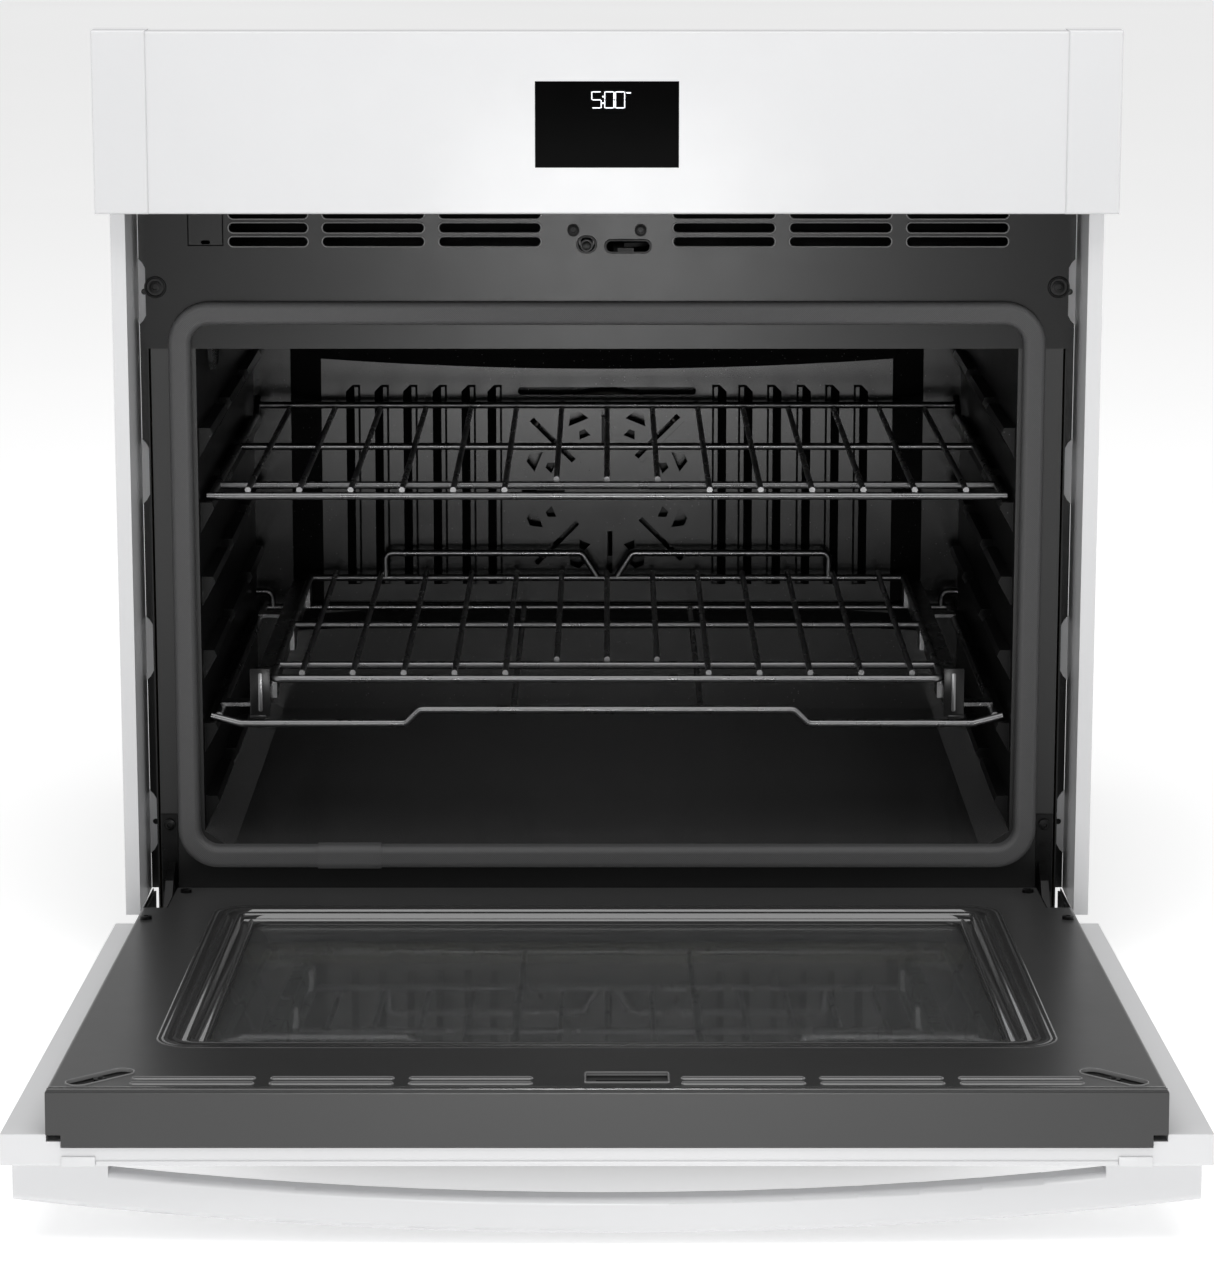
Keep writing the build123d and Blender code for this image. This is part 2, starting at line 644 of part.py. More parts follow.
with BuildPart() as power_board:
    board_z, board_top = shelf_z + 9, shelf_z + 10.6
    block((90, 290), (60, 220), (board_z, board_top))
    for x in (98, 282):
        for y in (68, 212):
            rod((x, y, shelf_z + steel), (x, y, board_z), 3)
    for i in range(4):
        block((104 + 40 * i, 128 + 40 * i), (80, 100), (board_top, board_top + 17))
    block((110, 170), (130, 180), (board_top, board_top + 37))
    with Locations((220, 150, board_top), (255, 150, board_top)):
        Cylinder(13, 30, align=(Align.CENTER, Align.CENTER, Align.MIN))
power_board.part.label = "power_board"
export_step(power_board.part, "parts/power_board.step")

housing_low, housing_tall = shelf_z + steel, 62.0
housing_high = housing_low + housing_tall
mouth_right = blower_x - 10
blower_shaft = 3.0
with BuildPart() as blower_housing:
    with Locations((blower_x, blower_y, housing_low + housing_tall / 2)):
        Cylinder(blower_radius, housing_tall)
    block((blower_x - blower_radius, mouth_right), (200, blower_y), (housing_low, housing_high))
    with Locations((blower_x, blower_y, housing_low + housing_tall / 2)):
        Cylinder(blower_radius - steel, housing_tall - 2 * steel, mode=Mode.SUBTRACT)
        Cylinder(9, housing_tall + 18, mode=Mode.SUBTRACT)
    mouth = (blower_x - blower_radius + steel, mouth_right - steel)
    block(mouth, (199, blower_y), (housing_low + steel, housing_high - steel), Mode.SUBTRACT)
    for i in range(6):
        with Locations(Location((blower_x, blower_y, housing_high), (0, 0, 60 * i))):
            with Locations((44, 0, 0)):
                Cylinder(9, 20, mode=Mode.SUBTRACT)
blower_housing.part.label = "blower_housing"
export_step(blower_housing.part, "parts/blower_housing.step")

wheel_low, wheel_high, vane_count = shelf_z + 8, shelf_z + 53, 18
with BuildPart() as blower_wheel:
    with Locations((blower_x, blower_y, wheel_low)):
        Cylinder(56, 2)
        Cylinder(12, 12, align=(Align.CENTER, Align.CENTER, Align.MIN))
    for i in range(vane_count):
        turn = (0, 0, 360 / vane_count * i)
        with Locations(Location((blower_x, blower_y, (wheel_low + wheel_high) / 2), turn)):
            with Locations((50, 0, 0)):
                Box(11, 1.6, wheel_high - wheel_low)
    with Locations((blower_x, blower_y, wheel_high)):
        Cylinder(56, 2)
        Cylinder(42, 4, mode=Mode.SUBTRACT)
    rod((blower_x, blower_y, wheel_low), (blower_x, blower_y, body_height - 14), blower_shaft)
blower_wheel.part.label = "blower_wheel"
export_step(blower_wheel.part, "parts/blower_wheel.step")

motor_low, motor_high = housing_high + 1.8, body_height - 6
with BuildPart() as blower_motor:
    rod((blower_x, blower_y, motor_low), (blower_x, blower_y, motor_high), 27)
    for i in range(3):
        with Locations(Location((blower_x, blower_y, motor_low + 1.6), (0, 0, 120 * i + 30))):
            with Locations((40, 0, 0)):
                Box(44, 8, 3.2)
            with Locations((60, 0, -1.7)):
                Cylinder(4, 3.4)
    bore = blower_shaft + running_gap
    rod((blower_x, blower_y, motor_low - 5), (blower_x, blower_y, body_height - 12), bore, Mode.SUBTRACT)
blower_motor.part.label = "blower_motor"
export_step(blower_motor.part, "parts/blower_motor.step")

clamp_bore = 11.2
with BuildPart() as conduit_clamp:
    with BuildSketch(upright(body_back)):
        with Locations((conduit_x, conduit_z)):
            Circle(15)
            Circle(clamp_bore, mode=Mode.SUBTRACT)
    extrude(amount=-18)
    with BuildSketch(upright(body_back + steel)):
        with Locations((conduit_x, conduit_z)):
            RegularPolygon(21, 8)
            Circle(clamp_bore, mode=Mode.SUBTRACT)
    extrude(amount=-4)
conduit_clamp.part.label = "conduit_clamp"
export_step(conduit_clamp.part, "parts/conduit_clamp.step")

# ---------------------------------------------------------------- hinges
for side, name in ((-1, "left"), (1, "right")):
    with BuildPart() as hinge_arm:
        block((side * (hinge_x - 5), side * (hinge_x + 7.5)), (-1.6, 0), (58, 120))
        with BuildSketch(Plane.YZ.offset(side * (hinge_x - 3))):
            with Locations((pivot_y, pivot_z)):
                Circle(5.6)
            with BuildLine():
                Polyline(
                    (pivot_y - 2, pivot_z + 5), (-20, 72), (-1, 82), (-1, 60), (-14, 57),
                    (pivot_y + 5, pivot_z - 2.4), close=True,
                )
            make_face()
        extrude(amount=side * 6)
        pin = (side * hinge_inner, pivot_y, pivot_z), (side * hinge_outer, pivot_y, pivot_z)
        rod(*pin, pin_radius + running_gap, Mode.SUBTRACT)
        with BuildSketch(upright(0)):
            with Locations(*[(side * (hinge_x + 1), z) for z in hinge_screws]):
                Circle(2)
        extrude(amount=3, both=True, mode=Mode.SUBTRACT)
    hinge_arm.part.label = f"hinge_arm_{name}"
    export_step(hinge_arm.part, f"parts/hinge_arm_{name}.step")

    with BuildPart() as hinge_housing:
        cheek = ((-60.8, -14.5), (22, 165))
        block((side * hinge_inner, side * (hinge_inner + 1.5)), *cheek)
        block((side * (hinge_outer - 1.5), side * hinge_outer), *cheek)
        block((side * (hinge_inner + 1.5), side * (hinge_outer - 1.5)), (-60.8, -59.3), (52, 165))
        rod(*pin, pin_radius)
    housing = opened(hinge_housing.part)
    housing.label = f"hinge_housing_{name}"
    export_step(housing, f"parts/hinge_housing_{name}.step")

with BuildPart() as cabinet_screws:
    seats = [(x, 0, z) for x, z in header_screws]
    seats += [(side * (hinge_x + 1), -1.6, hinge_screws[1]) for side in (-1, 1)]
    for x, y, z in seats:
        rod((x, y - 2.4, z), (x, y, z), 4.4)
        rod((x, y, z), (x, steel + 3, z), 1.95)
cabinet_screws.part.label = "cabinet_screws"
export_step(cabinet_screws.part, "parts/cabinet_screws.step")

# ---------------------------------------------------------------- door, drawn shut
cap_inner, cap_low = liner_half - 9, skin_top - 20
view_half, view_low, view_high = bezel_half - 60, bezel_low + 64.4, bezel_high - 57.6
pane_half, pane_low, pane_high = bezel_half - 20, bezel_low + 24.4, bezel_high - 24.6
notch = (hinge_inner - 0.6, hinge_outer + 0.6)
with BuildPart() as door_skin:
    block((-half_panel, half_panel), (panel_front, skin_back), (door_bottom, skin_top))
    fillet(door_skin.edges().group_by(Axis.Y)[0], 2.5)
    hollow = (panel_front + steel, skin_back - steel), (door_bottom + steel, skin_top - steel)
    block((-half_panel + steel, half_panel - steel), *hollow, Mode.SUBTRACT)
    block((-liner_half, liner_half), (-45, -40), (door_bottom + steel, skin_top + 1), Mode.SUBTRACT)
    block((-cap_inner, cap_inner), (-50, -40), (cap_low - 8, skin_top + 1), Mode.SUBTRACT)
    block((-view_half, view_half), (-63, -60), (view_low, view_high), Mode.SUBTRACT)
    for side in (-1, 1):
        block((side * cap_inner, side * (half_panel + 1)), (-63, -40), (cap_low, skin_top + 1), Mode.SUBTRACT)
        block((side * notch[0], side * notch[1]), (-58, -40), (14, 19), Mode.SUBTRACT)
skin = opened(door_skin.part)
skin.label = "door_skin"
export_step(skin, "parts/door_skin.step")

for side, name in ((-1, "left"), (1, "right")):
    with BuildPart() as door_cap:
        block((side * cap_inner, side * half_panel), (panel_front, skin_back), (cap_low, skin_top))
        fillet(door_cap.edges().group_by(Axis.Y)[0].sort_by(Axis.Z)[-1:], 2.5)
        flange = (-46, -40), (cap_low - 8, skin_top + 1)
        block((side * (cap_inner - 2), side * liner_half), *flange, Mode.SUBTRACT)
    cap = opened(door_cap.part)
    cap.label = f"door_cap_{name}"
    export_step(cap, f"parts/door_cap_{name}.step")

with BuildPart() as outer_glass:
    block((-pane_half, pane_half), (panel_front + steel, panel_front + 5.2), (pane_low, pane_high))
pane = opened(outer_glass.part)
pane.label = "outer_glass"
export_step(pane, "parts/outer_glass.step")

# The handle: one bowed bar with a solid foot at each end.
handle_z, handle_height = skin_top - 26, 18.0
foot_outer, foot_inner = half_panel - 4.8, half_panel - 64.8
reach_end, reach_middle, hollow_end, hollow_middle = 27.0, 49.0, 9.0, 26.0
with BuildPart() as handle:
    with BuildSketch(Plane.XY.offset(handle_z - handle_height / 2)):
        with BuildLine():
            outer_y, inner_y = panel_front - reach_end, panel_front - hollow_end
            Line((-foot_outer, panel_front), (-foot_outer, outer_y))
            ThreePointArc((-foot_outer, outer_y), (0, panel_front - reach_middle), (foot_outer, outer_y))
            Polyline(
                (foot_outer, outer_y), (foot_outer, panel_front),
                (foot_inner, panel_front), (foot_inner, inner_y),
            )
            ThreePointArc((foot_inner, inner_y), (0, panel_front - hollow_middle), (-foot_inner, inner_y))
            Polyline((-foot_inner, inner_y), (-foot_inner, panel_front), (-foot_outer, panel_front))
        make_face()
    extrude(amount=handle_height)
    for rim_edges in (handle.edges().group_by(Axis.Z)[0], handle.edges().group_by(Axis.Z)[-1]):
        fillet(rim_edges.filter_by(GeomType.CIRCLE), 4)
grip = opened(handle.part)
grip.label = "handle"
export_step(grip, "parts/handle.step")

dimple_place = liner_half - 31
with BuildPart() as door_inner_panel:
    block((-liner_half, liner_half), (skin_back, door_face), (liner_bottom, liner_top))
    fillet(door_inner_panel.edges().group_by(Axis.Y)[-1], 3)
    inside = (skin_back - 1, door_face - steel), (liner_bottom + steel, liner_top - steel)
    block((-liner_half + steel, liner_half - steel), *inside, Mode.SUBTRACT)
    block((-cap_inner + 0.4, cap_inner - 0.4), (-49, skin_back), (liner_top - steel, liner_top))
    block((-14.2, 39.2), (-16.2, door_face - steel), (latch_z - 11.2, latch_z + 13.2))
    block((-13, 38), (-15, -11), (latch_z - 10, latch_z + 12), Mode.SUBTRACT)
    block(latch_slot, (-17, -11), (latch_z - 4, latch_z + 4), Mode.SUBTRACT)
    cup, recess = (-4, steel - 4, 52, 18, Mode.ADD), (-3, -4, 49.6, 15.6, Mode.SUBTRACT)
    for y, amount, length, width, mode in (cup, recess):
        with BuildSketch(upright(door_face + y)):
            for side in (-1, 1):
                with Locations(Location((side * dimple_place, latch_z), side * 45)):
                    SlotOverall(length, width)
        extrude(amount=amount, mode=mode)
    for z in (latch_z + 2.5, latch_z + 14.6):
        slots([(side * x, z) for side in (-1, 1) for x in (85.2, 172, 259)], 76, 4, door_face, 3)
    with BuildSketch(upright(door_face)):
        with Locations((0, (bezel_low + bezel_high) / 2)):
            RectangleRounded(2 * bezel_half, bezel_high - bezel_low, 24)
    extrude(amount=3, both=True, mode=Mode.SUBTRACT)
    for side in (-1, 1):
        block((side * notch[0], side * notch[1]), (-45, -10), (14, 90), Mode.SUBTRACT)
liner = opened(door_inner_panel.part)
liner.label = "door_inner_panel"
export_step(liner, "parts/door_inner_panel.step")


def ring(outer, inner, y, depth):
    """A flat rounded frame between two outlines, its face at y, reaching into the door by depth."""
    with BuildSketch(upright(y)) as frame:
        for (half, low, high, radius), mode in ((outer, Mode.ADD), (inner, Mode.SUBTRACT)):
            with Locations((0, (low + high) / 2)):
                RectangleRounded(2 * half, high - low, radius, mode=mode)
    extrude(frame.sketch, amount=depth)


with BuildPart() as window_bezel:
    outline = (bezel_half, bezel_low, bezel_high, 24)
    for step in (1, 2, 3):
        inset = 10 * step
        opening = (bezel_half - inset, bezel_low + inset, bezel_high - inset, 24 - 3.5 * step)
        ring(outline, opening, door_face - bezel_step * (step - 1), bezel_step)
    seat = door_face - 3 * bezel_step
    socket = (pane_half + rest_gap, pane_low - rest_gap, pane_high + rest_gap, 4)
    ring((pane_half + 4, pane_low - 4, pane_high + 4, 8), socket, seat, seat + 40)
bezel = opened(window_bezel.part)
bezel.label = "window_bezel"
export_step(bezel, "parts/window_bezel.step")

pane_thick = 4.0
for name, y in (("inner_glass", seat - rest_gap), ("middle_glass", seat - 12)):
    with BuildPart() as glass:
        with BuildSketch(upright(y)):
            with Locations((0, (pane_low + pane_high) / 2)):
                RectangleRounded(2 * pane_half, pane_high - pane_low, 4)
        extrude(amount=pane_thick)
    sheet = opened(glass.part)
    sheet.label = name
    export_step(sheet, f"parts/{name}.step")

with BuildPart() as door_insulation:
    block((-liner_half + 24, liner_half - 24), (panel_front + steel, -42), (40, skin_top - 43))
    block((-pane_half - 1, pane_half + 1), (-62, -40), (pane_low - 1, pane_high + 1), Mode.SUBTRACT)
wool = opened(door_insulation.part)
wool.label = "door_insulation"
export_step(wool, "parts/door_insulation.step")

with BuildPart() as door_screws:
    for side in (-1, 1):
        seats = [(hinge_x + 3, door_face, 127), (liner_half - 28, door_face, 38)]
        for x, y, z in seats + [(dimple_place, door_face - 3, latch_z)]:
            rod((side * x, y, z), (side * x, y + 2, z), 4.2)
screws = opened(door_screws.part)
screws.label = "door_screws"
export_step(screws, "parts/door_screws.step")

# ---------------------------------------------------------------- racks
def wire_places(half):
    """The grid wires' places across a rack: all of them, then the three in the middle that stop short."""
    count = int((half - 10) / wire_pitch)
    outer = [i * wire_pitch for i in range(-count, count + 1) if abs(i) > 1]
    return outer, [i * wire_pitch for i in (-1, 0, 1)]


def grid_wires(half, z, back):
    """The level wires of a rack, from its front bars to a place near its back."""
    outer, inner = wire_places(half)
    for x in outer:
        rod((x, rack_front, z), (x, back, z), wire_radius)
    for x in inner:
        rod((x, second_bar, z), (x, back, z), wire_radius)


grid_rise = bar_radius + wire_radius - weld
with BuildPart() as upper_rack:
    z = levels[4]
    side_x = upper_rack_half - 3.5
    heel = upper_rack_back - 20
    rod((-upper_rack_half, rack_front, z), (upper_rack_half, rack_front, z), bar_radius)
    for y in (second_bar, 253):
        rod((-side_x, y, z), (side_x, y, z), bar_radius)
    for side in (-1, 1):
        x = side * side_x
        bent_wire([(x, rack_front, z), (x, heel, z), (x, upper_rack_back, z + 14)], bar_radius - 0.15, 7)
    back_y, back_z = heel + 12, z + 2 * grid_rise - 1
    rod((-side_x, back_y, back_z), (side_x, back_y, back_z), bar_radius)
    grid_wires(upper_rack_half, z + grid_rise, back_y + 2)
upper_rack.part.label = "upper_rack"
export_step(upper_rack.part, "parts/upper_rack.step")

# The glide frame rests on the guides. Each side has a fixed channel, a middle slide and a runner.
frame_z = levels[1]
frame_back = 432.0
frame_side = cavity_half - 10
rail_y = (30.0, 420.0)
channel_low, channel_high = frame_z + 4, frame_z + 26
fixed_out, wall = cavity_half - 36.5, 1.2
flange_in = fixed_out - 11.5
with BuildPart() as glide_frame:
    dip = frame_z - 6
    front = [(-upper_rack_half, frame_z), (-cavity_half + 27, dip), (-157, dip), (-146, frame_z + 5)]
    front += [(-x, z) for x, z in reversed(front)]
    bent_wire([(x, rack_front, z) for x, z in front], bar_radius, 7)
    for side in (-1, 1):
        x = side * frame_side
        rod((x, rack_front, frame_z), (x, frame_back, frame_z), bar_radius - 0.1)
        hook_x, hook_z = frame_side - 7, frame_z + 14
        hook = [(hook_x, frame_z), (hook_x, hook_z), (cavity_half - 3, hook_z)]
        bent_wire([(side * x, frame_back, z) for x, z in hook], bar_radius - 0.2, 6)
        rod((side * 73, rack_front, frame_z + 5), (side * 73, frame_back + 2, frame_z), wire_radius)
        block((side * (fixed_out - wall), side * fixed_out), rail_y, (channel_low, channel_high))
        for z in (channel_low, channel_high - wall):
            block((side * flange_in, side * fixed_out), rail_y, (z, z + wall))
        for y in (60, 390):
            bracket = (y - 8, y + 8), (frame_z + 1.2, channel_low)
            block((side * (fixed_out - 7.5), side * (frame_side + 1)), *bracket)
    rod((-frame_side, frame_back, frame_z), (frame_side, frame_back, frame_z), bar_radius)
glide_frame.part.label = "glide_frame"
export_step(glide_frame.part, "parts/glide_frame.step")

slide_low = channel_low + wall + slide_gap
slide_high = channel_high - wall - slide_gap
slide_out = fixed_out - wall - slide_gap
with BuildPart() as glide_slides:
    for side in (-1, 1):
        block((side * (slide_out - wall), side * slide_out), rail_y, (slide_low, slide_high))
        for z in (slide_low, slide_high - wall):
            block((side * flange_in, side * slide_out), rail_y, (z, z + wall))
glide_slides.part.label = "glide_slides"
export_step(glide_slides.part, "parts/glide_slides.step")

stop_rise = 22.0
with BuildPart() as lower_rack:
    z = lower_rack_z
    half, back = lower_rack_half, lower_rack_back
    corners = [(-half, back), (-half, rack_front), (half, rack_front), (half, back)]
    bent_wire([(x, y, z) for x, y in corners], bar_radius, 7)
    for y in (second_bar, 222, back):
        rod((-half, y, z), (half, y, z), bar_radius)
    grid_wires(half, z + grid_rise, back)
    for side in (-1, 1):
        stop = [(194, z), (194, z + stop_rise), (22, z + stop_rise), (8, z)]
        bent_wire([(side * x, back, up) for x, up in stop], bar_radius, 6)
        runner = (slide_low + wall + slide_gap, slide_high - wall - slide_gap)
        block((side * (half + 2), side * (half + 10.5)), (27, 420), runner)
        block((side * (half + 2), side * (fixed_out + 1.5)), (24.5, 27.5), (frame_z, frame_z + 37))
        for y in (60, 230, 400):
            block((side * (half - 1.5), side * (half + 3)), (y - 12, y + 12), (frame_z + 9, z))
lower_rack.part.label = "lower_rack"
export_step(lower_rack.part, "parts/lower_rack.step")
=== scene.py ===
"""A wall oven with its door open: finishes, small fittings and light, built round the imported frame."""

import math

import bmesh
import bpy
from mathutils import Matrix, Vector
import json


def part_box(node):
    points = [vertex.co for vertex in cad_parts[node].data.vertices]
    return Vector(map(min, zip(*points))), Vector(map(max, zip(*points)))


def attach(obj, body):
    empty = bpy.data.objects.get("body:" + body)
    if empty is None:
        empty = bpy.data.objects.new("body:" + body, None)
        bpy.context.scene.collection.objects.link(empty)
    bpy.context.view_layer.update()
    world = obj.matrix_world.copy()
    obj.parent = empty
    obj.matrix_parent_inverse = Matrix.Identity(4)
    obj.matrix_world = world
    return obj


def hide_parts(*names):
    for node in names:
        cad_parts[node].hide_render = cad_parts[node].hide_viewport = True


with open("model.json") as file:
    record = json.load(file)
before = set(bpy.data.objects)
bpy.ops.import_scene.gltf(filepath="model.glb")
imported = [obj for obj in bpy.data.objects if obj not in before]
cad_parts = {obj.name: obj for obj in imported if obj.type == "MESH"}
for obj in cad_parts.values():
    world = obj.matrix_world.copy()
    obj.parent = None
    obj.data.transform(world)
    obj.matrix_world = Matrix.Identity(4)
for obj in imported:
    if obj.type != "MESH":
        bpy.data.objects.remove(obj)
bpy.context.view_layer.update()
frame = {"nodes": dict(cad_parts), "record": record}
nodes = frame["nodes"]
bpy.ops.object.select_all(action="DESELECT")

joints = {j["name"]: j for j in frame["record"]["behaviour"]["joints"]}
hinge = Vector(joints["door_hinge"]["pos_m"])
open_angle = -math.radians(joints["door_hinge"]["range_deg"][0])
MM = 0.001
SCREW_REACH = 12 * MM
DOOR_SCREW_REACH = 14 * MM
SMOOTH_BELOW = math.radians(40.0)


# ------------------------------------------------------------ shader groups
def new_group(name, inputs, outputs):
    """An empty shader group with named float (f) or vector (v) sockets."""
    group = bpy.data.node_groups.new(name, "ShaderNodeTree")
    kinds = {"f": "NodeSocketFloat", "v": "NodeSocketVector"}
    for label, kind, value in inputs:
        socket = group.interface.new_socket(name=label, in_out="INPUT", socket_type=kinds[kind])
        if value is not None:
            socket.default_value = value
    for label, kind in outputs:
        group.interface.new_socket(name=label, in_out="OUTPUT", socket_type=kinds[kind])
    entry = group.nodes.new("NodeGroupInput")
    leave = group.nodes.new("NodeGroupOutput")
    return group, entry, leave


def add(tree, kind, **values):
    """A node with its settings and its inputs' values."""
    made = tree.nodes.new(kind)
    for key, value in values.items():
        if hasattr(made, key):
            setattr(made, key, value)
        else:
            made.inputs[key.replace("_", " ")].default_value = value
    return made


def noise(tree, place, scale, detail=3.0, rough=0.55):
    """Fine noise read at a place."""
    made = add(tree, "ShaderNodeTexNoise", Scale=scale, Detail=detail, Roughness=rough)
    tree.links.new(place, made.inputs["Vector"])
    return made


def remap(tree, value, low, high, to_low, to_high):
    """A clamped change of range."""
    made = add(tree, "ShaderNodeMapRange")
    made.inputs["From Min"].default_value = low
    made.inputs["From Max"].default_value = high
    made.inputs["To Min"].default_value = to_low
    made.inputs["To Max"].default_value = to_high
    tree.links.new(value, made.inputs["Value"])
    return made.outputs["Result"]


def enamel_group():
    """Fired enamel: a faint orange peel, slow gloss changes and light handling marks."""
    tree, entry, leave = new_group(
        "enamel_surface",
        [("Place", "v", None), ("Peel", "f", 260.0), ("Gloss", "f", 0.3), ("Spread", "f", 0.06)],
        [("Height", "f"), ("Roughness", "f"), ("Shade", "f")],
    )
    peel = noise(tree, entry.outputs["Place"], 260.0, 2.0)
    tree.links.new(entry.outputs["Peel"], peel.inputs["Scale"])
    slow = noise(tree, entry.outputs["Place"], 3.1, 4.0)
    marks = noise(tree, entry.outputs["Place"], 38.0, 6.0, 0.7)
    both = add(tree, "ShaderNodeMath", operation="MULTIPLY")
    tree.links.new(slow.outputs["Fac"], both.inputs[0])
    tree.links.new(marks.outputs["Fac"], both.inputs[1])
    span = add(tree, "ShaderNodeMath", operation="MULTIPLY_ADD")
    centred = remap(tree, both.outputs[0], 0.1, 0.42, -1.0, 1.0)
    tree.links.new(centred, span.inputs[0])
    tree.links.new(entry.outputs["Spread"], span.inputs[1])
    tree.links.new(entry.outputs["Gloss"], span.inputs[2])
    tree.links.new(peel.outputs["Fac"], leave.inputs["Height"])
    tree.links.new(span.outputs[0], leave.inputs["Roughness"])
    tree.links.new(remap(tree, slow.outputs["Fac"], 0.3, 0.7, 0.0, 1.0), leave.inputs["Shade"])
    return tree


def fleck_group():
    """Pale flecks scattered in porcelain enamel, of two sizes."""
    tree, entry, leave = new_group(
        "porcelain_flecks",
        [("Place", "v", None), ("Count", "f", 700.0), ("Amount", "f", 0.12)],
        [("Mask", "f")],
    )
    cells = add(tree, "ShaderNodeTexVoronoi", feature="F1")
    tree.links.new(entry.outputs["Place"], cells.inputs["Vector"])
    tree.links.new(entry.outputs["Count"], cells.inputs["Scale"])
    dot = remap(tree, cells.outputs["Distance"], 0.10, 0.26, 1.0, 0.0)
    split = add(tree, "ShaderNodeSeparateColor")
    tree.links.new(cells.outputs["Color"], split.inputs[0])
    pick = add(tree, "ShaderNodeMath", operation="LESS_THAN")
    tree.links.new(split.outputs[0], pick.inputs[0])
    tree.links.new(entry.outputs["Amount"], pick.inputs[1])
    mask = add(tree, "ShaderNodeMath", operation="MULTIPLY")
    tree.links.new(dot, mask.inputs[0])
    tree.links.new(pick.outputs[0], mask.inputs[1])
    tree.links.new(mask.outputs[0], leave.inputs["Mask"])
    return tree


def grain_group():
    """Coated or plated metal: a fine relief over a mottle of shade and gloss."""
    tree, entry, leave = new_group(
        "metal_grain",
        [("Place", "v", None), ("Gloss", "f", 0.35)],
        [("Height", "f"), ("Roughness", "f"), ("Shade", "f")],
    )
    fine = noise(tree, entry.outputs["Place"], 600.0, 3.0)
    mottle = noise(tree, entry.outputs["Place"], 45.0, 4.0)
    rough = add(tree, "ShaderNodeMath", operation="ADD")
    tree.links.new(remap(tree, mottle.outputs["Fac"], 0.3, 0.7, -0.09, 0.12), rough.inputs[0])
    tree.links.new(entry.outputs["Gloss"], rough.inputs[1])
    tree.links.new(fine.outputs["Fac"], leave.inputs["Height"])
    tree.links.new(rough.outputs[0], leave.inputs["Roughness"])
    tree.links.new(mottle.outputs["Fac"], leave.inputs["Shade"])
    return tree


def spangle_group():
    """Zinc crystals on dipped sheet: angular patches that differ a little in shade and gloss."""
    tree, entry, leave = new_group(
        "zinc_spangle",
        [("Place", "v", None), ("Gloss", "f", 0.4)],
        [("Height", "f"), ("Roughness", "f"), ("Shade", "f")],
    )
    crystals = add(tree, "ShaderNodeTexVoronoi", feature="F1", Scale=85.0)
    tree.links.new(entry.outputs["Place"], crystals.inputs["Vector"])
    parts = add(tree, "ShaderNodeSeparateColor")
    tree.links.new(crystals.outputs["Color"], parts.inputs[0])
    rough = add(tree, "ShaderNodeMath", operation="ADD")
    tree.links.new(remap(tree, parts.outputs[1], 0.0, 1.0, -0.05, 0.07), rough.inputs[0])
    tree.links.new(entry.outputs["Gloss"], rough.inputs[1])
    fine = noise(tree, entry.outputs["Place"], 500.0, 2.0)
    tree.links.new(fine.outputs["Fac"], leave.inputs["Height"])
    tree.links.new(rough.outputs[0], leave.inputs["Roughness"])
    tree.links.new(parts.outputs[0], leave.inputs["Shade"])
    return tree


FLECK_COLOUR = (0.16, 0.16, 0.165, 1.0)
ENAMEL = enamel_group()
FLECKS = fleck_group()
GRAIN = grain_group()
SPANGLE = spangle_group()


# ---------------------------------------------------------------- materials
def new_material(name, colour, rough, metallic=0.0):
    """A material with its Principled shader and Object coordinates."""
    made = bpy.data.materials.new(name)
    made.use_nodes = True
    tree = made.node_tree
    shader = tree.nodes["Principled BSDF"]
    shader.inputs["Base Color"].default_value = (*colour, 1.0)
    shader.inputs["Roughness"].default_value = rough
    shader.inputs["Metallic"].default_value = metallic
    place = tree.nodes.new("ShaderNodeTexCoord").outputs["Object"]
    return made, tree, shader, place


def use_group(tree, group, place, **values):
    """A shader group placed in a material with its own values."""
    made = tree.nodes.new("ShaderNodeGroup")
    made.node_tree = group
    tree.links.new(place, made.inputs["Place"])
    for key, value in values.items():
        made.inputs[key].default_value = value
    return made


def colour_mix(tree, mask):
    """A colour mix driven by a mask: its two colour inputs and its colour output."""
    made = add(tree, "ShaderNodeMix", data_type="RGBA")
    tree.links.new(mask, made.inputs["Factor"])
    first, second = [socket for socket in made.inputs if socket.type == "RGBA"]
    return first, second, next(socket for socket in made.outputs if socket.type == "RGBA")


def two_colours(tree, mask, low, high):
    """A colour between two, by a mask."""
    first, second, colour = colour_mix(tree, mask)
    first.default_value = (*low, 1.0)
    second.default_value = (*high, 1.0)
    return colour


def bump(tree, shader, height, strength, distance):
    """Relief on the shader's normal."""
    made = add(tree, "ShaderNodeBump", Strength=strength, Distance=distance)
    tree.links.new(height, made.inputs["Height"])
    tree.links.new(made.outputs["Normal"], shader.inputs["Normal"])


def enamel(
    name, dark, light, gloss, spread=0.05, peel=260.0, relief=0.06, coat=0.0, flecks=0.0, shine=0.5
):
    """Enamel on steel, from its two shades and its gloss."""
    made, tree, shader, place = new_material(name, dark, gloss)
    surface = use_group(tree, ENAMEL, place, Peel=peel, Gloss=gloss, Spread=spread)
    colour = two_colours(tree, surface.outputs["Shade"], dark, light)
    if flecks:
        dots = use_group(tree, FLECKS, place, Count=520.0, Amount=flecks)
        first, second, mixed = colour_mix(tree, dots.outputs["Mask"])
        tree.links.new(colour, first)
        second.default_value = FLECK_COLOUR
        colour = mixed
    tree.links.new(colour, shader.inputs["Base Color"])
    tree.links.new(surface.outputs["Roughness"], shader.inputs["Roughness"])
    shader.inputs["Specular IOR Level"].default_value = shine
    shader.inputs["Coat Weight"].default_value = coat
    shader.inputs["Coat Roughness"].default_value = 0.12
    bump(tree, shader, surface.outputs["Height"], relief, 0.0004)
    return made


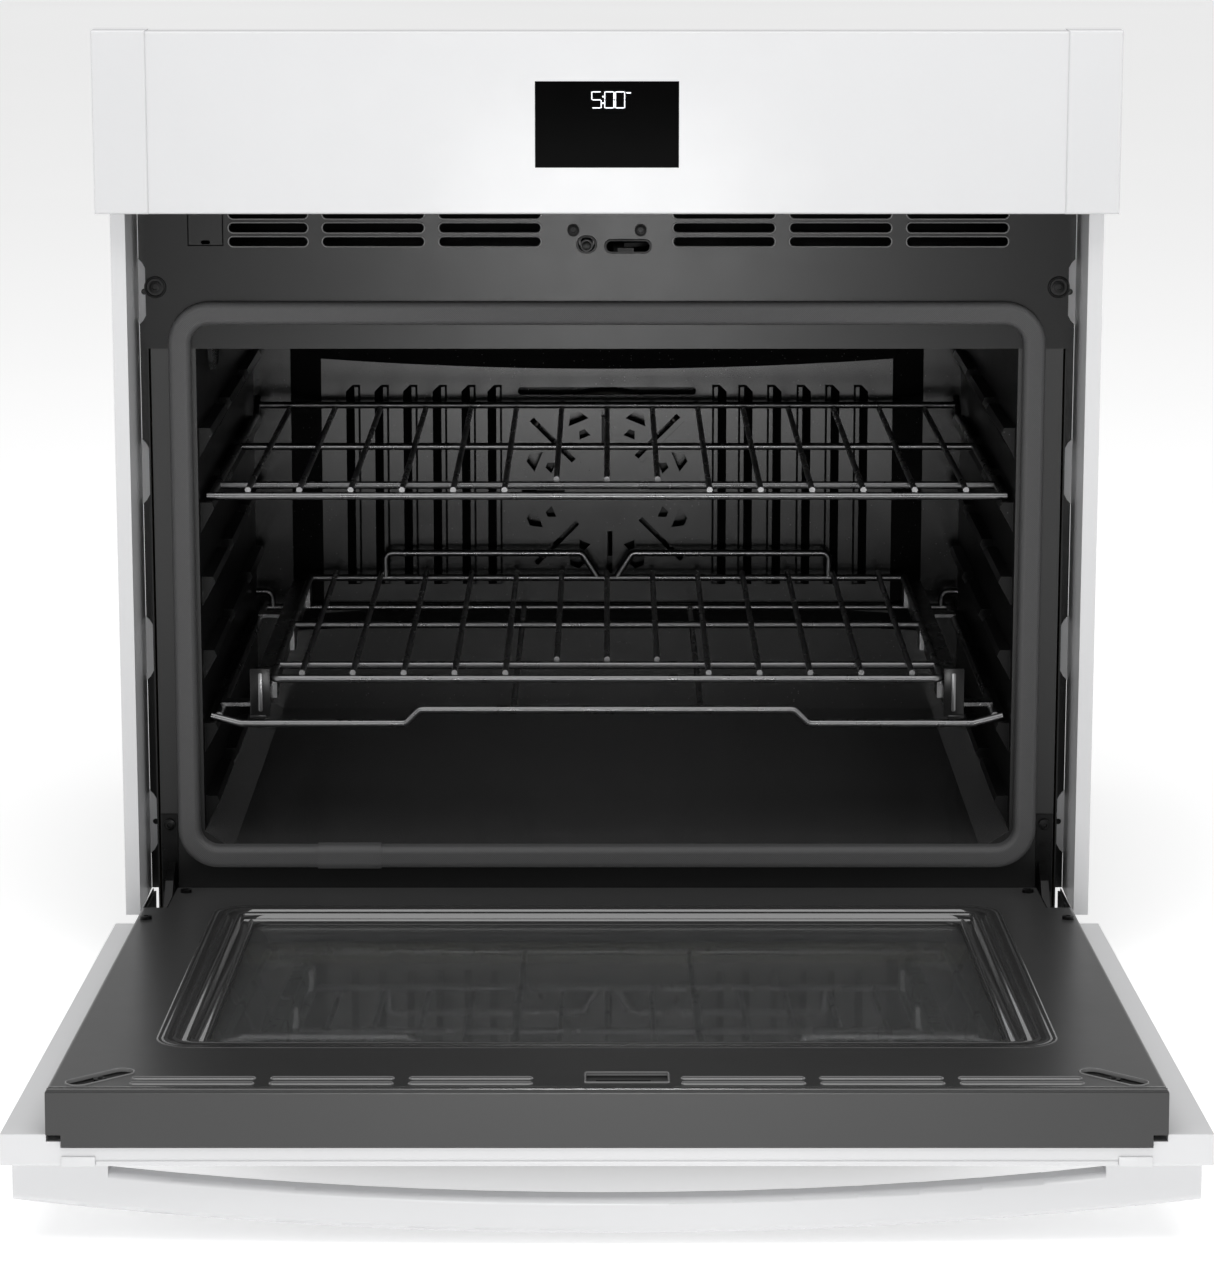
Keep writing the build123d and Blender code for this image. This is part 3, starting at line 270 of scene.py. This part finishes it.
def metal(name, dark, light, gloss, relief=0.05, grain=GRAIN):
    """Bare or coated metal with a grain."""
    made, tree, shader, place = new_material(name, dark, gloss, metallic=1.0)
    surface = use_group(tree, grain, place, Gloss=gloss)
    tree.links.new(two_colours(tree, surface.outputs["Shade"], dark, light), shader.inputs["Base Color"])
    tree.links.new(surface.outputs["Roughness"], shader.inputs["Roughness"])
    bump(tree, shader, surface.outputs["Height"], relief, 0.0003)
    return made


def glass(name, tint, rough=0.0, weight=1.0):
    """Clear or smoked oven glass, with faint haze."""
    made, tree, shader, place = new_material(name, tint, rough)
    haze = noise(tree, place, 14.0, 4.0)
    cloud = remap(tree, haze.outputs["Fac"], 0.4, 0.8, rough, rough + 0.025)
    tree.links.new(cloud, shader.inputs["Roughness"])
    shader.inputs["Transmission Weight"].default_value = weight
    shader.inputs["IOR"].default_value = 1.5
    return made


def woven(name, dark, light, scale, rough=0.85):
    """Braided or felted fibre."""
    made, tree, shader, place = new_material(name, dark, rough)
    ways = []
    for direction in ((1.0, 1.0, 1.0), (1.0, -1.0, 1.0)):
        turned = add(tree, "ShaderNodeVectorMath", operation="MULTIPLY")
        tree.links.new(place, turned.inputs[0])
        turned.inputs[1].default_value = direction
        wave = add(tree, "ShaderNodeTexWave", bands_direction="DIAGONAL", Scale=scale, Distortion=1.2)
        tree.links.new(turned.outputs[0], wave.inputs["Vector"])
        ways.append(wave.outputs["Fac"])
    strands = add(tree, "ShaderNodeMath", operation="MAXIMUM")
    tree.links.new(ways[0], strands.inputs[0])
    tree.links.new(ways[1], strands.inputs[1])
    tree.links.new(two_colours(tree, strands.outputs[0], dark, light), shader.inputs["Base Color"])
    bump(tree, shader, strands.outputs[0], 0.5, 0.0005)
    return made


def lit(name, colour, strength):
    """A lit display segment."""
    made, tree, shader, place = new_material(name, colour, 0.4)
    flicker = noise(tree, place, 900.0, 1.0)
    dimmer = tuple(channel * 0.9 for channel in colour)
    shown = two_colours(tree, flicker.outputs["Fac"], dimmer, colour)
    tree.links.new(shown, shader.inputs["Emission Color"])
    shader.inputs["Emission Strength"].default_value = strength
    return made


def grey(value):
    """A neutral colour."""
    return (value, value, value)


white = enamel(
    "white_enamel", (0.63, 0.632, 0.64), (0.66, 0.662, 0.67), gloss=0.34,
    spread=0.04, peel=220.0, relief=0.03, coat=0.1,
)
moulding = enamel(
    "white_moulding", (0.63, 0.632, 0.64), (0.66, 0.662, 0.67), gloss=0.42, peel=420.0, relief=0.05
)
black = enamel(
    "black_enamel", grey(0.006), grey(0.009), gloss=0.25, spread=0.02, peel=300.0, relief=0.02, shine=0.2
)
porcelain = enamel(
    "porcelain_enamel", grey(0.008), grey(0.012), gloss=0.20,
    spread=0.02, peel=240.0, relief=0.02, coat=0.15, flecks=0.05, shine=0.45,
)
# Painted highlight: a light grey, far paler than the black and door enamels, given to the rolled lips round
# the slots, the pocket and the dimples so that their edges show a bright line.
lip_highlight_enamel = enamel(
    "lip_highlight_enamel", grey(0.15), grey(0.19), gloss=0.20, spread=0.02, peel=300.0, relief=0.01, coat=0.4
)
gloss_enamel = enamel(
    "gloss_enamel", grey(0.028), grey(0.033), gloss=0.13,
    spread=0.01, peel=320.0, relief=0.0, coat=0.6, shine=0.8,
)
# Painted shade: a darker copy of the porcelain enamel for the cavity's side walls, for the shade that lies
# on them.
wall_painted_shade = enamel(
    "wall_painted_shade_enamel", grey(0.004), grey(0.006), gloss=0.34,
    spread=0.03, peel=240.0, relief=0.02, flecks=0.05, shine=0.12,
)
# Painted light: a paler copy of the black enamel for the front frame, set to how bright the frame looks
# under the lights.
frame_painted_light_enamel = enamel(
    "frame_painted_light_enamel", grey(0.012), grey(0.015), gloss=0.30,
    spread=0.02, peel=320.0, relief=0.012, shine=0.35,
)
# Painted light: a paler copy of the porcelain enamel for the cavity floor, for the light that falls on it
# from above.
floor_painted_light_enamel = enamel(
    "floor_painted_light_enamel", grey(0.030), grey(0.036), gloss=0.24,
    spread=0.02, peel=240.0, relief=0.02, coat=0.2, flecks=0.05, shine=0.6,
)
# Painted shadow: near-black with almost no reflection, for the sheets behind the fan cover's louvres.
painted_shadow_black = enamel(
    "painted_shadow_black", grey(0.0015), grey(0.002), gloss=0.8,
    spread=0.02, peel=320.0, relief=0.02, shine=0.02,
)
door_grey = enamel(
    "door_enamel", grey(0.026), grey(0.030), gloss=0.30, spread=0.015, peel=320.0, relief=0.012
)
seal = woven("seal_braid", (0.045, 0.045, 0.046), (0.075, 0.075, 0.076), scale=420.0, rough=0.5)
wool = woven("mineral_wool", (0.42, 0.36, 0.22), (0.62, 0.56, 0.40), scale=90.0, rough=0.95)
rack = metal("rack_coating", (0.155, 0.155, 0.157), (0.205, 0.205, 0.207), gloss=0.30, relief=0.02)
heater = metal("heater_sheath", (0.05, 0.047, 0.045), (0.09, 0.085, 0.08), gloss=0.5, relief=0.08)
zinc = metal("zinc_plate", (0.46, 0.46, 0.47), (0.58, 0.58, 0.59), gloss=0.36)
black_oxide = metal("black_oxide", grey(0.010), grey(0.022), gloss=0.32, relief=0.04)
galvanised = metal(
    "galvanised_sheet", (0.46, 0.47, 0.48), (0.56, 0.57, 0.58), gloss=0.42, grain=SPANGLE
)
cast = metal("cast_aluminium", (0.50, 0.50, 0.51), (0.62, 0.62, 0.63), gloss=0.45, relief=0.12)
black_glass = enamel(
    "display_glass", grey(0.0015), grey(0.002), gloss=0.10,
    spread=0.02, peel=60.0, relief=0.004, shine=0.002,
)
smoked_glass = enamel(
    "printed_glass", (0.045, 0.045, 0.046), (0.055, 0.055, 0.056), gloss=0.14,
    spread=0.02, peel=60.0, relief=0.004, shine=0.08,
)
clear_glass = glass("door_glass", (0.80, 0.81, 0.81), rough=0.02, weight=0.965)
bulb_glass = glass("bulb_glass", (0.96, 0.95, 0.9))
circuit = enamel(
    "circuit_board", (0.02, 0.12, 0.05), (0.03, 0.17, 0.07), gloss=0.4, spread=0.1, peel=500.0, relief=0.2
)
black_plastic = enamel(
    "black_plastic", grey(0.012), grey(0.018), gloss=0.5, spread=0.06, peel=700.0, relief=0.15
)
segment = lit("clock_segment", (0.9, 0.93, 1.0), strength=1.0)

finishes = {
    "white_enamel": white, "white_moulding": moulding, "black_enamel": black,
    "speckled_enamel": porcelain, "door_enamel": door_grey, "galvanised": galvanised,
    "display_black": black_glass, "clear_glass": clear_glass, "dark_glass": smoked_glass,
    "bulb_glass": bulb_glass, "seal": seal, "wool": wool, "rack_wire": rack, "heater": heater,
    "zinc": zinc, "black_oxide": black_oxide, "cast": cast, "circuit": circuit,
    "black_plastic": black_plastic,
}
# Own copies of the enamels for some nodes: painted shade on the cavity's side walls, painted light on the
# cavity floor and the front frame.
own_finishes = {
    "cavity_left_wall": wall_painted_shade, "cavity_right_wall": wall_painted_shade, "cavity_floor": floor_painted_light_enamel,
    "front_frame": frame_painted_light_enamel,
}
for part in frame["record"]["subparts"]:
    for place in nodes[part["node"]].material_slots:
        place.material = own_finishes.get(part["node"], finishes[part["material_slot"]])


# ------------------------------------------------------------ making pieces
door_turn = Matrix.Translation(hinge) @ Matrix.Rotation(open_angle, 4, "X") @ Matrix.Translation(-hinge)


def shut_box(node):
    """A door node's lowest and highest corners with the door shut."""
    back = door_turn.inverted()
    places = [back @ v.co for v in nodes[node].data.vertices]
    return [Vector([pick(p[i] for p in places) for i in range(3)]) for pick in (min, max)]


def plate(name, x, z, y, corner=0.0, facing=-1):
    """A flat sheet across the view between two values on X and two on Z, with rounded corners."""
    bpy.ops.object.select_all(action="DESELECT")
    middle = ((x[0] + x[1]) / 2, y, (z[0] + z[1]) / 2)
    bpy.ops.mesh.primitive_plane_add(size=1.0, location=middle, rotation=(-facing * math.pi / 2, 0.0, 0.0))
    made = bpy.context.object
    made.name = name
    made.scale = (x[1] - x[0], z[1] - z[0], 1.0)
    bpy.ops.object.transform_apply(location=True, rotation=True, scale=True)
    if corner:
        bpy.ops.object.mode_set(mode="EDIT")
        bpy.ops.mesh.select_all(action="SELECT")
        bpy.ops.mesh.bevel(offset=corner * 0.98, segments=8, affect="VERTICES")
        bpy.ops.object.mode_set(mode="OBJECT")
    return made


def rim(name, x, z, y, corner, section, facing=-1):
    """A rounded frame, its section given as places inwards from its edge and heights off the sheet."""
    made = plate(name, x, z, y + facing * section[0][1], corner, facing)
    bpy.ops.object.mode_set(mode="EDIT")
    bpy.ops.mesh.select_mode(type="FACE")
    bpy.ops.mesh.select_all(action="SELECT")
    for (place, height), (next_place, next_height) in zip(section, section[1:]):
        bpy.ops.mesh.inset(thickness=next_place - place, depth=next_height - height)
    bpy.ops.mesh.delete(type="FACE")
    bpy.ops.mesh.select_mode(type="EDGE")
    bpy.ops.mesh.select_non_manifold(extend=False)
    bpy.ops.mesh.bridge_edge_loops()
    bpy.ops.mesh.select_all(action="SELECT")
    bpy.ops.mesh.normals_make_consistent(inside=False)
    if bmesh.from_edit_mesh(made.data).calc_volume(signed=True) < 0.0:
        bpy.ops.mesh.flip_normals()
    bpy.ops.object.mode_set(mode="OBJECT")
    return made


def thicken(made, thickness, edge=0.0):
    """A closed wall from a sheet, grown back from its face, with softened edges."""
    bpy.context.view_layer.objects.active = made
    solid = made.modifiers.new("wall", "SOLIDIFY")
    solid.thickness = thickness
    solid.offset = -1.0
    bpy.ops.object.modifier_apply(modifier="wall")
    if edge:
        soft = made.modifiers.new("edges", "BEVEL")
        soft.width = edge
        soft.segments = 2
        soft.limit_method = "ANGLE"
        bpy.ops.object.modifier_apply(modifier="edges")
    return made


def screw(name, place, radius, height, facing):
    """A pan-head screw with a socket, standing on a face across the view."""
    bpy.ops.object.select_all(action="DESELECT")
    middle = Vector(place) + Vector((0.0, facing * height / 2, 0.0))
    bpy.ops.mesh.primitive_cylinder_add(
        vertices=24, radius=radius, depth=height, location=middle, rotation=(-facing * math.pi / 2, 0.0, 0.0)
    )
    made = bpy.context.object
    made.name = name
    bpy.ops.object.transform_apply(location=True, rotation=True, scale=True)
    bpy.ops.object.mode_set(mode="EDIT")
    bpy.ops.mesh.select_mode(type="FACE")
    bpy.ops.mesh.select_all(action="DESELECT")
    shape = bmesh.from_edit_mesh(made.data)
    for face in shape.faces:
        face.select_set(face.normal.y * facing > 0.9)
    bmesh.update_edit_mesh(made.data)
    bpy.ops.mesh.inset(thickness=radius * 0.12, depth=0.0)
    bpy.ops.mesh.inset(thickness=radius * 0.10, depth=height * 0.10)
    bpy.ops.mesh.inset(thickness=radius * 0.34, depth=0.0)
    bpy.ops.mesh.inset(thickness=radius * 0.05, depth=-height * 0.55)
    bpy.ops.object.mode_set(mode="OBJECT")
    return made


def joined(name, pieces):
    """Several pieces as one mesh."""
    bpy.ops.object.select_all(action="DESELECT")
    for piece in pieces:
        piece.select_set(True)
    bpy.context.view_layer.objects.active = pieces[0]
    bpy.ops.object.join()
    pieces[0].name = name
    return pieces[0]


def fit(made, body, slot, paint=None):
    """Turn a piece with the open door if it is the door's, give it its finish and let it ride."""
    bpy.ops.object.select_all(action="DESELECT")
    made.select_set(True)
    bpy.context.view_layer.objects.active = made
    if body == "door":
        made.matrix_world = door_turn
        bpy.ops.object.transform_apply(location=True, rotation=True, scale=True)
    made.data.materials.clear()
    made.data.materials.append(paint or finishes[slot])
    bpy.ops.object.shade_smooth_by_angle(angle=SMOOTH_BELOW)
    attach(made, body)
    return made


def islands(node, reach):
    """The lowest and highest corners of a node's separate lumps, told apart by their distance."""
    groups = []
    for v in nodes[node].data.vertices:
        for group in groups:
            if abs(group[0].x - v.co.x) < reach and (group[0] - v.co).length < 2 * reach:
                group.append(v.co.copy())
                break
        else:
            groups.append([v.co.copy()])
    return [
        tuple(Vector([pick(place[i] for place in group) for i in range(3)]) for pick in (min, max))
        for group in groups
    ]


# ------------------------------------------------------------- small pieces
def profile(*points):
    """A rim's section from places inwards and heights off the sheet, both in millimetres."""
    return [(place * MM, height * MM) for place, height in points]


SLOT_LIP = profile((0.0, -0.1), (0.2, 0.35), (0.55, 0.5), (0.9, 0.35), (1.05, -0.3), (1.1, -0.9))
GUIDE_LIP = profile((0.0, -0.1), (0.2, 0.7), (0.6, 0.95), (1.5, 0.9), (1.75, 0.4), (1.8, -1.4))
DOOR_SLOT_LIP = profile((0.0, -0.1), (0.3, 0.5), (0.7, 0.7), (1.1, 0.5), (1.3, -0.4), (1.35, -1.0))
POCKET_LIP = profile((0.0, -0.1), (0.3, 0.5), (0.8, 0.7), (1.3, 0.5), (1.6, -0.8), (1.7, -1.7))
# Two low beads on the door's face, then three steps down to the glass, each with a bead of its own.
WINDOW_STEPS = profile(
    (0.0, -0.3), (0.3, 0.06), (0.9, 0.2), (1.5, 0.25), (2.1, 0.2), (2.8, 0.05), (3.6, 0.05), (4.3, 0.2),
    (5.0, 0.25), (5.7, 0.2), (6.4, 0.08), (10.8, 0.08),
    (12.4, -0.6), (13.2, -1.9), (14.0, -2.3), (17.5, -2.35), (18.6, -1.5), (20.0, -1.1), (21.4, -1.5),
    (22.4, -3.2), (23.4, -4.6), (27.5, -4.8), (28.6, -4.1), (30.0, -3.8), (31.2, -4.6), (32.0, -7.0),
    (32.8, -7.45),
)


def header_fittings():
    """Rolled lips round the air slots, plastic surrounds for the latch and the plunger, and dimples."""
    latch_low, latch_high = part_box("latch_hook")
    latch_z = (latch_low.z + latch_high.z) / 2
    slot_rows = [latch_z + up * MM for up in (3.5, 14.0, 24.5)]
    slots = [(side * x, 76.4) for side in (-1, 1) for x in (88.3, 176.2)] + [(264.4, 76.4), (-255.5, 59.4)]
    slot_round = 4.45 * MM
    lips = []
    for middle, length in slots:
        for row in slot_rows:
            x = [(middle + end * (length / 2 + 1.0)) * MM for end in (-1, 1)]
            lips.append(rim("slot_lip", x, (row - slot_round, row + slot_round), 0.0, slot_round, SLOT_LIP))
    # The header's slot lips carry the painted highlight grey.
    fit(joined("header_slot_lips", lips), "cabinet", "black_enamel", lip_highlight_enamel)

    plunger_low, plunger_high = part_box("switch_plunger")
    latch_round = 5.6 * MM
    beside, above = 3.4 * MM, 2.4 * MM
    surrounds = (
        ((-2.2 * MM, 33.8 * MM), (latch_z - latch_round, latch_z + latch_round), latch_round),
        (
            (plunger_low.x - beside, plunger_high.x + beside),
            (plunger_low.z - above, plunger_high.z + above), 6.9 * MM,
        ),
    )
    guides = [rim("guide_rim", x, z, 0.0, corner, GUIDE_LIP) for x, z, corner in surrounds]
    fit(joined("latch_guides", guides), "cabinet", "black_plastic")

    dimples = []
    for low, high in islands("cabinet_screws", SCREW_REACH):
        x, z = (low.x + high.x) / 2, (low.z + high.z) / 2
        if abs(x) < 0.2 or z < 0.4:
            continue
        bpy.ops.object.select_all(action="DESELECT")
        bpy.ops.mesh.primitive_torus_add(
            major_radius=7.4 * MM, minor_radius=1.0 * MM, major_segments=40, minor_segments=10,
            location=(x, 0.0, z), rotation=(math.pi / 2, 0.0, 0.0),
        )
        bpy.ops.object.transform_apply(location=True, rotation=True, scale=True)
        dimples.append(bpy.context.object)
    fit(joined("header_dimples", dimples), "cabinet", "black_oxide")


def screw_heads():
    """Pan heads with sockets on the dark faces, and on the door."""
    heads = []
    for low, high in islands("cabinet_screws", SCREW_REACH):
        place = ((low.x + high.x) / 2, low.y + 2.4 * MM, (low.z + high.z) / 2)
        heads.append(screw("head", place, 4.6 * MM, 2.5 * MM, -1))
    made = fit(joined("cabinet_screw_heads", heads), "cabinet", "black_oxide")
    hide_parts("cabinet_screws")

    back = door_turn.inverted()
    heads = []
    for low, high in islands("door_screws", DOOR_SCREW_REACH):
        middle = back @ ((low + high) / 2)
        heads.append(screw("head", (middle.x, middle.y - 1.0 * MM, middle.z), 4.4 * MM, 2.2 * MM, 1))
    made = fit(joined("door_screw_heads", heads), "door", "black_oxide")
    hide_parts("door_screws")


def clock():
    """Seven-bar clock digits and a colon, lit behind the display glass."""
    low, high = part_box("display_glass")
    front = low.y - 0.12 * MM
    top, middle, bottom = high.z - 7.4 * MM, high.z - 13.6 * MM, high.z - 19.8 * MM
    stroke = 0.7 * MM
    bars = []

    def bar(x, z):
        """One lit bar between two values on X and two on Z."""
        made = plate("bar", x, z, front, min(x[1] - x[0], z[1] - z[0]) * 0.3)
        bars.append(thicken(made, 0.1 * MM))

    def digit(left, width, shown):
        """The bars of one digit, lettered in the usual way from a at the top to g in the middle."""
        right = left + width
        inset = 0.25 * MM
        level = {"a": top - stroke, "g": middle - stroke / 2, "d": bottom}
        for key, z in level.items():
            if key in shown:
                bar((left + inset + stroke * 0.8, right - inset - stroke * 0.8), (z, z + stroke))
        upper, lower = (middle + inset, top - inset), (bottom + inset, middle - inset)
        for key, x, z in (
            ("f", left, upper), ("b", right - stroke, upper),
            ("e", left, lower), ("c", right - stroke, lower),
        ):
            if key in shown:
                bar((x, x + stroke), z)

    for left, width, shown in ((-11.5, 7.6, "afgcd"), (-2.0, 7.4, "abcdef"), (5.9, 7.4, "abcdef")):
        digit(left * MM, width * MM, shown)
    dot = 1.2 * MM
    for z in (top - 4.4 * MM, bottom + 3.2 * MM):
        bar((-3.5 * MM, -3.5 * MM + dot), (z, z + dot))
    bar((14.2 * MM, 17.6 * MM), (top - 1.5 * MM, top - 0.6 * MM))
    fit(joined("clock_digits", bars), "cabinet", "display_black", segment)


def door_beads():
    """Beads round the window, lips on the door's slots, pocket and dimples, and its edge folds."""
    low, high = shut_box("window_bezel")
    panel_low, panel_high = shut_box("door_inner_panel")
    face, top = panel_high.y, panel_high.z
    outside = 2 * MM
    x = (low.x - outside, high.x + outside)
    z = (low.z - outside, high.z + outside)
    fit(rim("window_beads", x, z, face, 26 * MM, WINDOW_STEPS, 1), "door", "door_enamel", gloss_enamel)

    lips = []
    slot_half, slot_round = 39.2, 3.2 * MM
    for row in (top - 25.5 * MM, top - 13.4 * MM):
        for side in (-1, 1):
            for centre in (85.2, 172.0, 259.0):
                x = [(side * centre + end * slot_half) * MM for end in (-1, 1)]
                z = (row - slot_round, row + slot_round)
                lips.append(rim("door_lip", x, z, face, slot_round, DOOR_SLOT_LIP, 1))
    pocket_x, pocket_z = (-14.5 * MM, 39.5 * MM), (top - 39.5 * MM, top - 14.5 * MM)
    lips.append(rim("pocket_rim", pocket_x, pocket_z, face, 2.0 * MM, POCKET_LIP, 1))
    dimple_half, dimple_round = 25.6 * MM, 8.6 * MM
    for side in (-1, 1):
        middle = Vector((side * (panel_high.x - 31.0 * MM), face, top - 28.0 * MM))
        x = (middle.x - dimple_half, middle.x + dimple_half)
        z = (middle.z - dimple_round, middle.z + dimple_round)
        cup = rim("dimple_rim", x, z, face, dimple_round, POCKET_LIP, 1)
        turn = Matrix.Rotation(math.radians(-side * 45.0), 4, "Y")
        cup.matrix_world = Matrix.Translation(middle) @ turn @ Matrix.Translation(-middle)
        bpy.ops.object.select_all(action="DESELECT")
        cup.select_set(True)
        bpy.ops.object.transform_apply(location=True, rotation=True, scale=True)
        lips.append(cup)
    # The door's slot, pocket and dimple lips carry the painted highlight grey.
    fit(joined("door_slot_lips", lips), "door", "door_enamel", lip_highlight_enamel)

    edge_row, rim_row = (top - 5.4 * MM, top - 3.6 * MM), (top - 1.9 * MM, top - 0.4 * MM)
    folds = []
    for x, z in (
        ((panel_low.x + 1.5 * MM, -15.6 * MM), edge_row),
        ((40.6 * MM, panel_high.x - 1.5 * MM), edge_row),
        ((panel_low.x + 1.0 * MM, panel_high.x - 1.0 * MM), rim_row),
    ):
        bar = plate("fold", x, z, face + 0.45 * MM, 0.7 * MM, 1)
        folds.append(thicken(bar, 1.2 * MM, 0.25 * MM))
    fit(joined("door_folds", folds), "door", "door_enamel", gloss_enamel)


def door_edge():
    """The pale hem of the outer skin along the open door's near edge, with a clip at each end."""
    low, high = shut_box("door_skin")
    front = low.y / MM
    strips = []
    for name, x, y, tall in (
        ("hem", (-318.0, 318.0), (front + 0.6, front + 3.8), 1.0),
        ("clip", (-339.6, -318.4), (front + 0.4, front + 6.6), 1.5),
        ("clip", (318.4, 339.6), (front + 0.4, front + 6.6), 1.5),
    ):
        bpy.ops.object.select_all(action="DESELECT")
        middle = [(x[0] + x[1]) / 2 * MM, (y[0] + y[1]) / 2 * MM, high.z + tall / 2 * MM]
        size = ((x[1] - x[0]) * MM, (y[1] - y[0]) * MM, tall * MM)
        bpy.ops.mesh.primitive_cube_add(size=1.0, location=middle, scale=size)
        made = bpy.context.object
        made.name = name
        bpy.ops.object.transform_apply(location=True, rotation=True, scale=True)
        soft = made.modifiers.new("edges", "BEVEL")
        soft.width = 0.45 * MM
        soft.segments = 3
        bpy.ops.object.modifier_apply(modifier="edges")
        strips.append(made)
    fit(joined("door_hem", strips), "door", "white_moulding")


def louvre_shadow_backs():
    """Painted shadow: near-black sheets behind the fan cover's louvres, so that its slots look dark."""
    low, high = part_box("convection_baffle")
    sheets = []
    for side in (-1, 1):
        x = sorted((side * 95.0 * MM, side * 232.0 * MM))
        z = (low.z + 40.0 * MM, high.z - 37.0 * MM)
        sheets.append(thicken(plate("shadow_plate", x, z, low.y + 6.0 * MM, 4.0 * MM), 0.5 * MM))
    fit(joined("louvre_shadow_sheets", sheets), "cabinet", "black_plastic", painted_shadow_black)


def rack_ends():
    """Painted shade: black folded plates and feet over the lower rack's front ends, each with a paler rib in
    the rack's own coating.
    """
    low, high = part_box("lower_rack")
    face, outer = 24.5 * MM, high.x / MM
    covers, ribs = [], []
    for side in (-1, 1):
        # Each row: the span across, the span above the plate's lower end, how far forward, how thick.
        for x, z, proud, wall, made in (
            ((outer - 15.4, outer + 0.4), (-0.2, 38.0), 1.4, 1.3, covers),
            ((outer - 12.0, outer + 0.8), (-1.6, 1.4), 2.2, 0.7, covers),
            ((outer - 9.3, outer - 6.2), (4.0, 34.5), 2.1, 0.6, ribs),
        ):
            span = sorted(side * end * MM for end in x)
            sheet = plate("end", span, [low.z + end * MM for end in z], face - proud * MM, 1.2 * MM)
            made.append(thicken(sheet, wall * MM, 0.2 * MM))
    # The plates and feet are black as painted shade over the rack's end plates.
    fit(joined("rack_end_shade_plates", covers), "lower_rack", "black_oxide", black)
    fit(joined("rack_end_ribs", ribs), "lower_rack", "rack_wire")


def cover_screws():
    """Small screws along the edges of the rear cover."""
    low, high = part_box("rear_cover")
    back = low.y + 1.2 * MM
    sides = [
        (x, low.z + share * (high.z - low.z))
        for x in (low.x + 9 * MM, high.x - 9 * MM)
        for share in (0.06, 0.28, 0.5, 0.72, 0.94)
    ]
    ends = [(x, z) for x in (-0.2, 0.0, 0.2) for z in (low.z + 10 * MM, high.z - 10 * MM)]
    heads = [screw("head", (x, back, z), 3.6 * MM, 1.8 * MM, 1) for x, z in sides + ends]
    fit(joined("rear_screw_heads", heads), "cabinet", "zinc")


header_fittings()
screw_heads()
clock()
door_beads()
door_edge()
louvre_shadow_backs()
rack_ends()
cover_screws()


# ------------------------------------------------------------------- studio
def soft_light(name, place, aim, size, power, tall):
    """A rectangular studio light turned towards a point."""
    data = bpy.data.lights.new(name, "AREA")
    data.shape = "RECTANGLE"
    data.size = size
    data.size_y = tall
    data.energy = power
    made = bpy.data.objects.new(name, data)
    made.location = place
    made.rotation_euler = (Vector(aim) - Vector(place)).to_track_quat("-Z", "Y").to_euler()
    bpy.context.collection.objects.link(made)
    return made


def studio():
    """A pale floor, soft surroundings, a light overhead, a low one in front and one at each side."""
    bpy.ops.mesh.primitive_plane_add(size=60.0, location=(0.0, 0.0, -0.0005))
    floor = bpy.context.object
    floor.name = "studio_floor"
    floor.data.materials.append(floor_paint())
    world = bpy.data.worlds.new("studio_air")
    bpy.context.scene.world = world
    world.use_nodes = True
    world.node_tree.nodes["Background"].inputs["Color"].default_value = (1.0, 1.0, 1.0, 1.0)
    world.node_tree.nodes["Background"].inputs["Strength"].default_value = 0.46
    middle = (0.0, 0.0, 0.35)
    soft_light("top_light", (0.0, -1.2, 3.4), (0.0, -0.2, 0.0), size=4.0, power=84.0, tall=3.0)
    # The centre light stands low, so that the header shows its reflection and the display doesn't.
    soft_light("centre_light", (0.0, -3.9, 0.17), middle, size=0.5, power=18.0, tall=0.3)
    for side in (-1, 1):
        place = (side * 3.2, -2.4, 1.7)
        soft_light(f"side_light_{side + 1}", place, middle, size=1.8, power=12.0, tall=2.0)
    bpy.context.scene.view_settings.view_transform = "Standard"


def floor_paint():
    """Plain pale studio floor, a little lit from below so that it stays even."""
    made, tree, shader, place = new_material("floor_paint", (0.93, 0.93, 0.93), 0.7)
    cloud = noise(tree, place, 1.3, 2.0)
    paint = two_colours(tree, cloud.outputs["Fac"], (0.92, 0.92, 0.92), (0.94, 0.94, 0.94))
    tree.links.new(paint, shader.inputs["Base Color"])
    tree.links.new(paint, shader.inputs["Emission Color"])
    shader.inputs["Emission Strength"].default_value = 0.42
    shader.inputs["Specular IOR Level"].default_value = 0.2
    return made


def camera():
    """The view from the front and above that takes in the open door."""
    data = bpy.data.cameras.new("front_camera")
    data.sensor_width = 36.0
    data.lens = 109.65
    data.shift_y = -0.1
    data.clip_end = 60.0
    made = bpy.data.objects.new("front_camera", data)
    made.location = (0.0, -2.894, 0.8996)
    made.rotation_euler = (math.radians(90.0 - 10.51), 0.0, 0.0)
    bpy.context.collection.objects.link(made)
    bpy.context.scene.camera = made


studio()
camera()
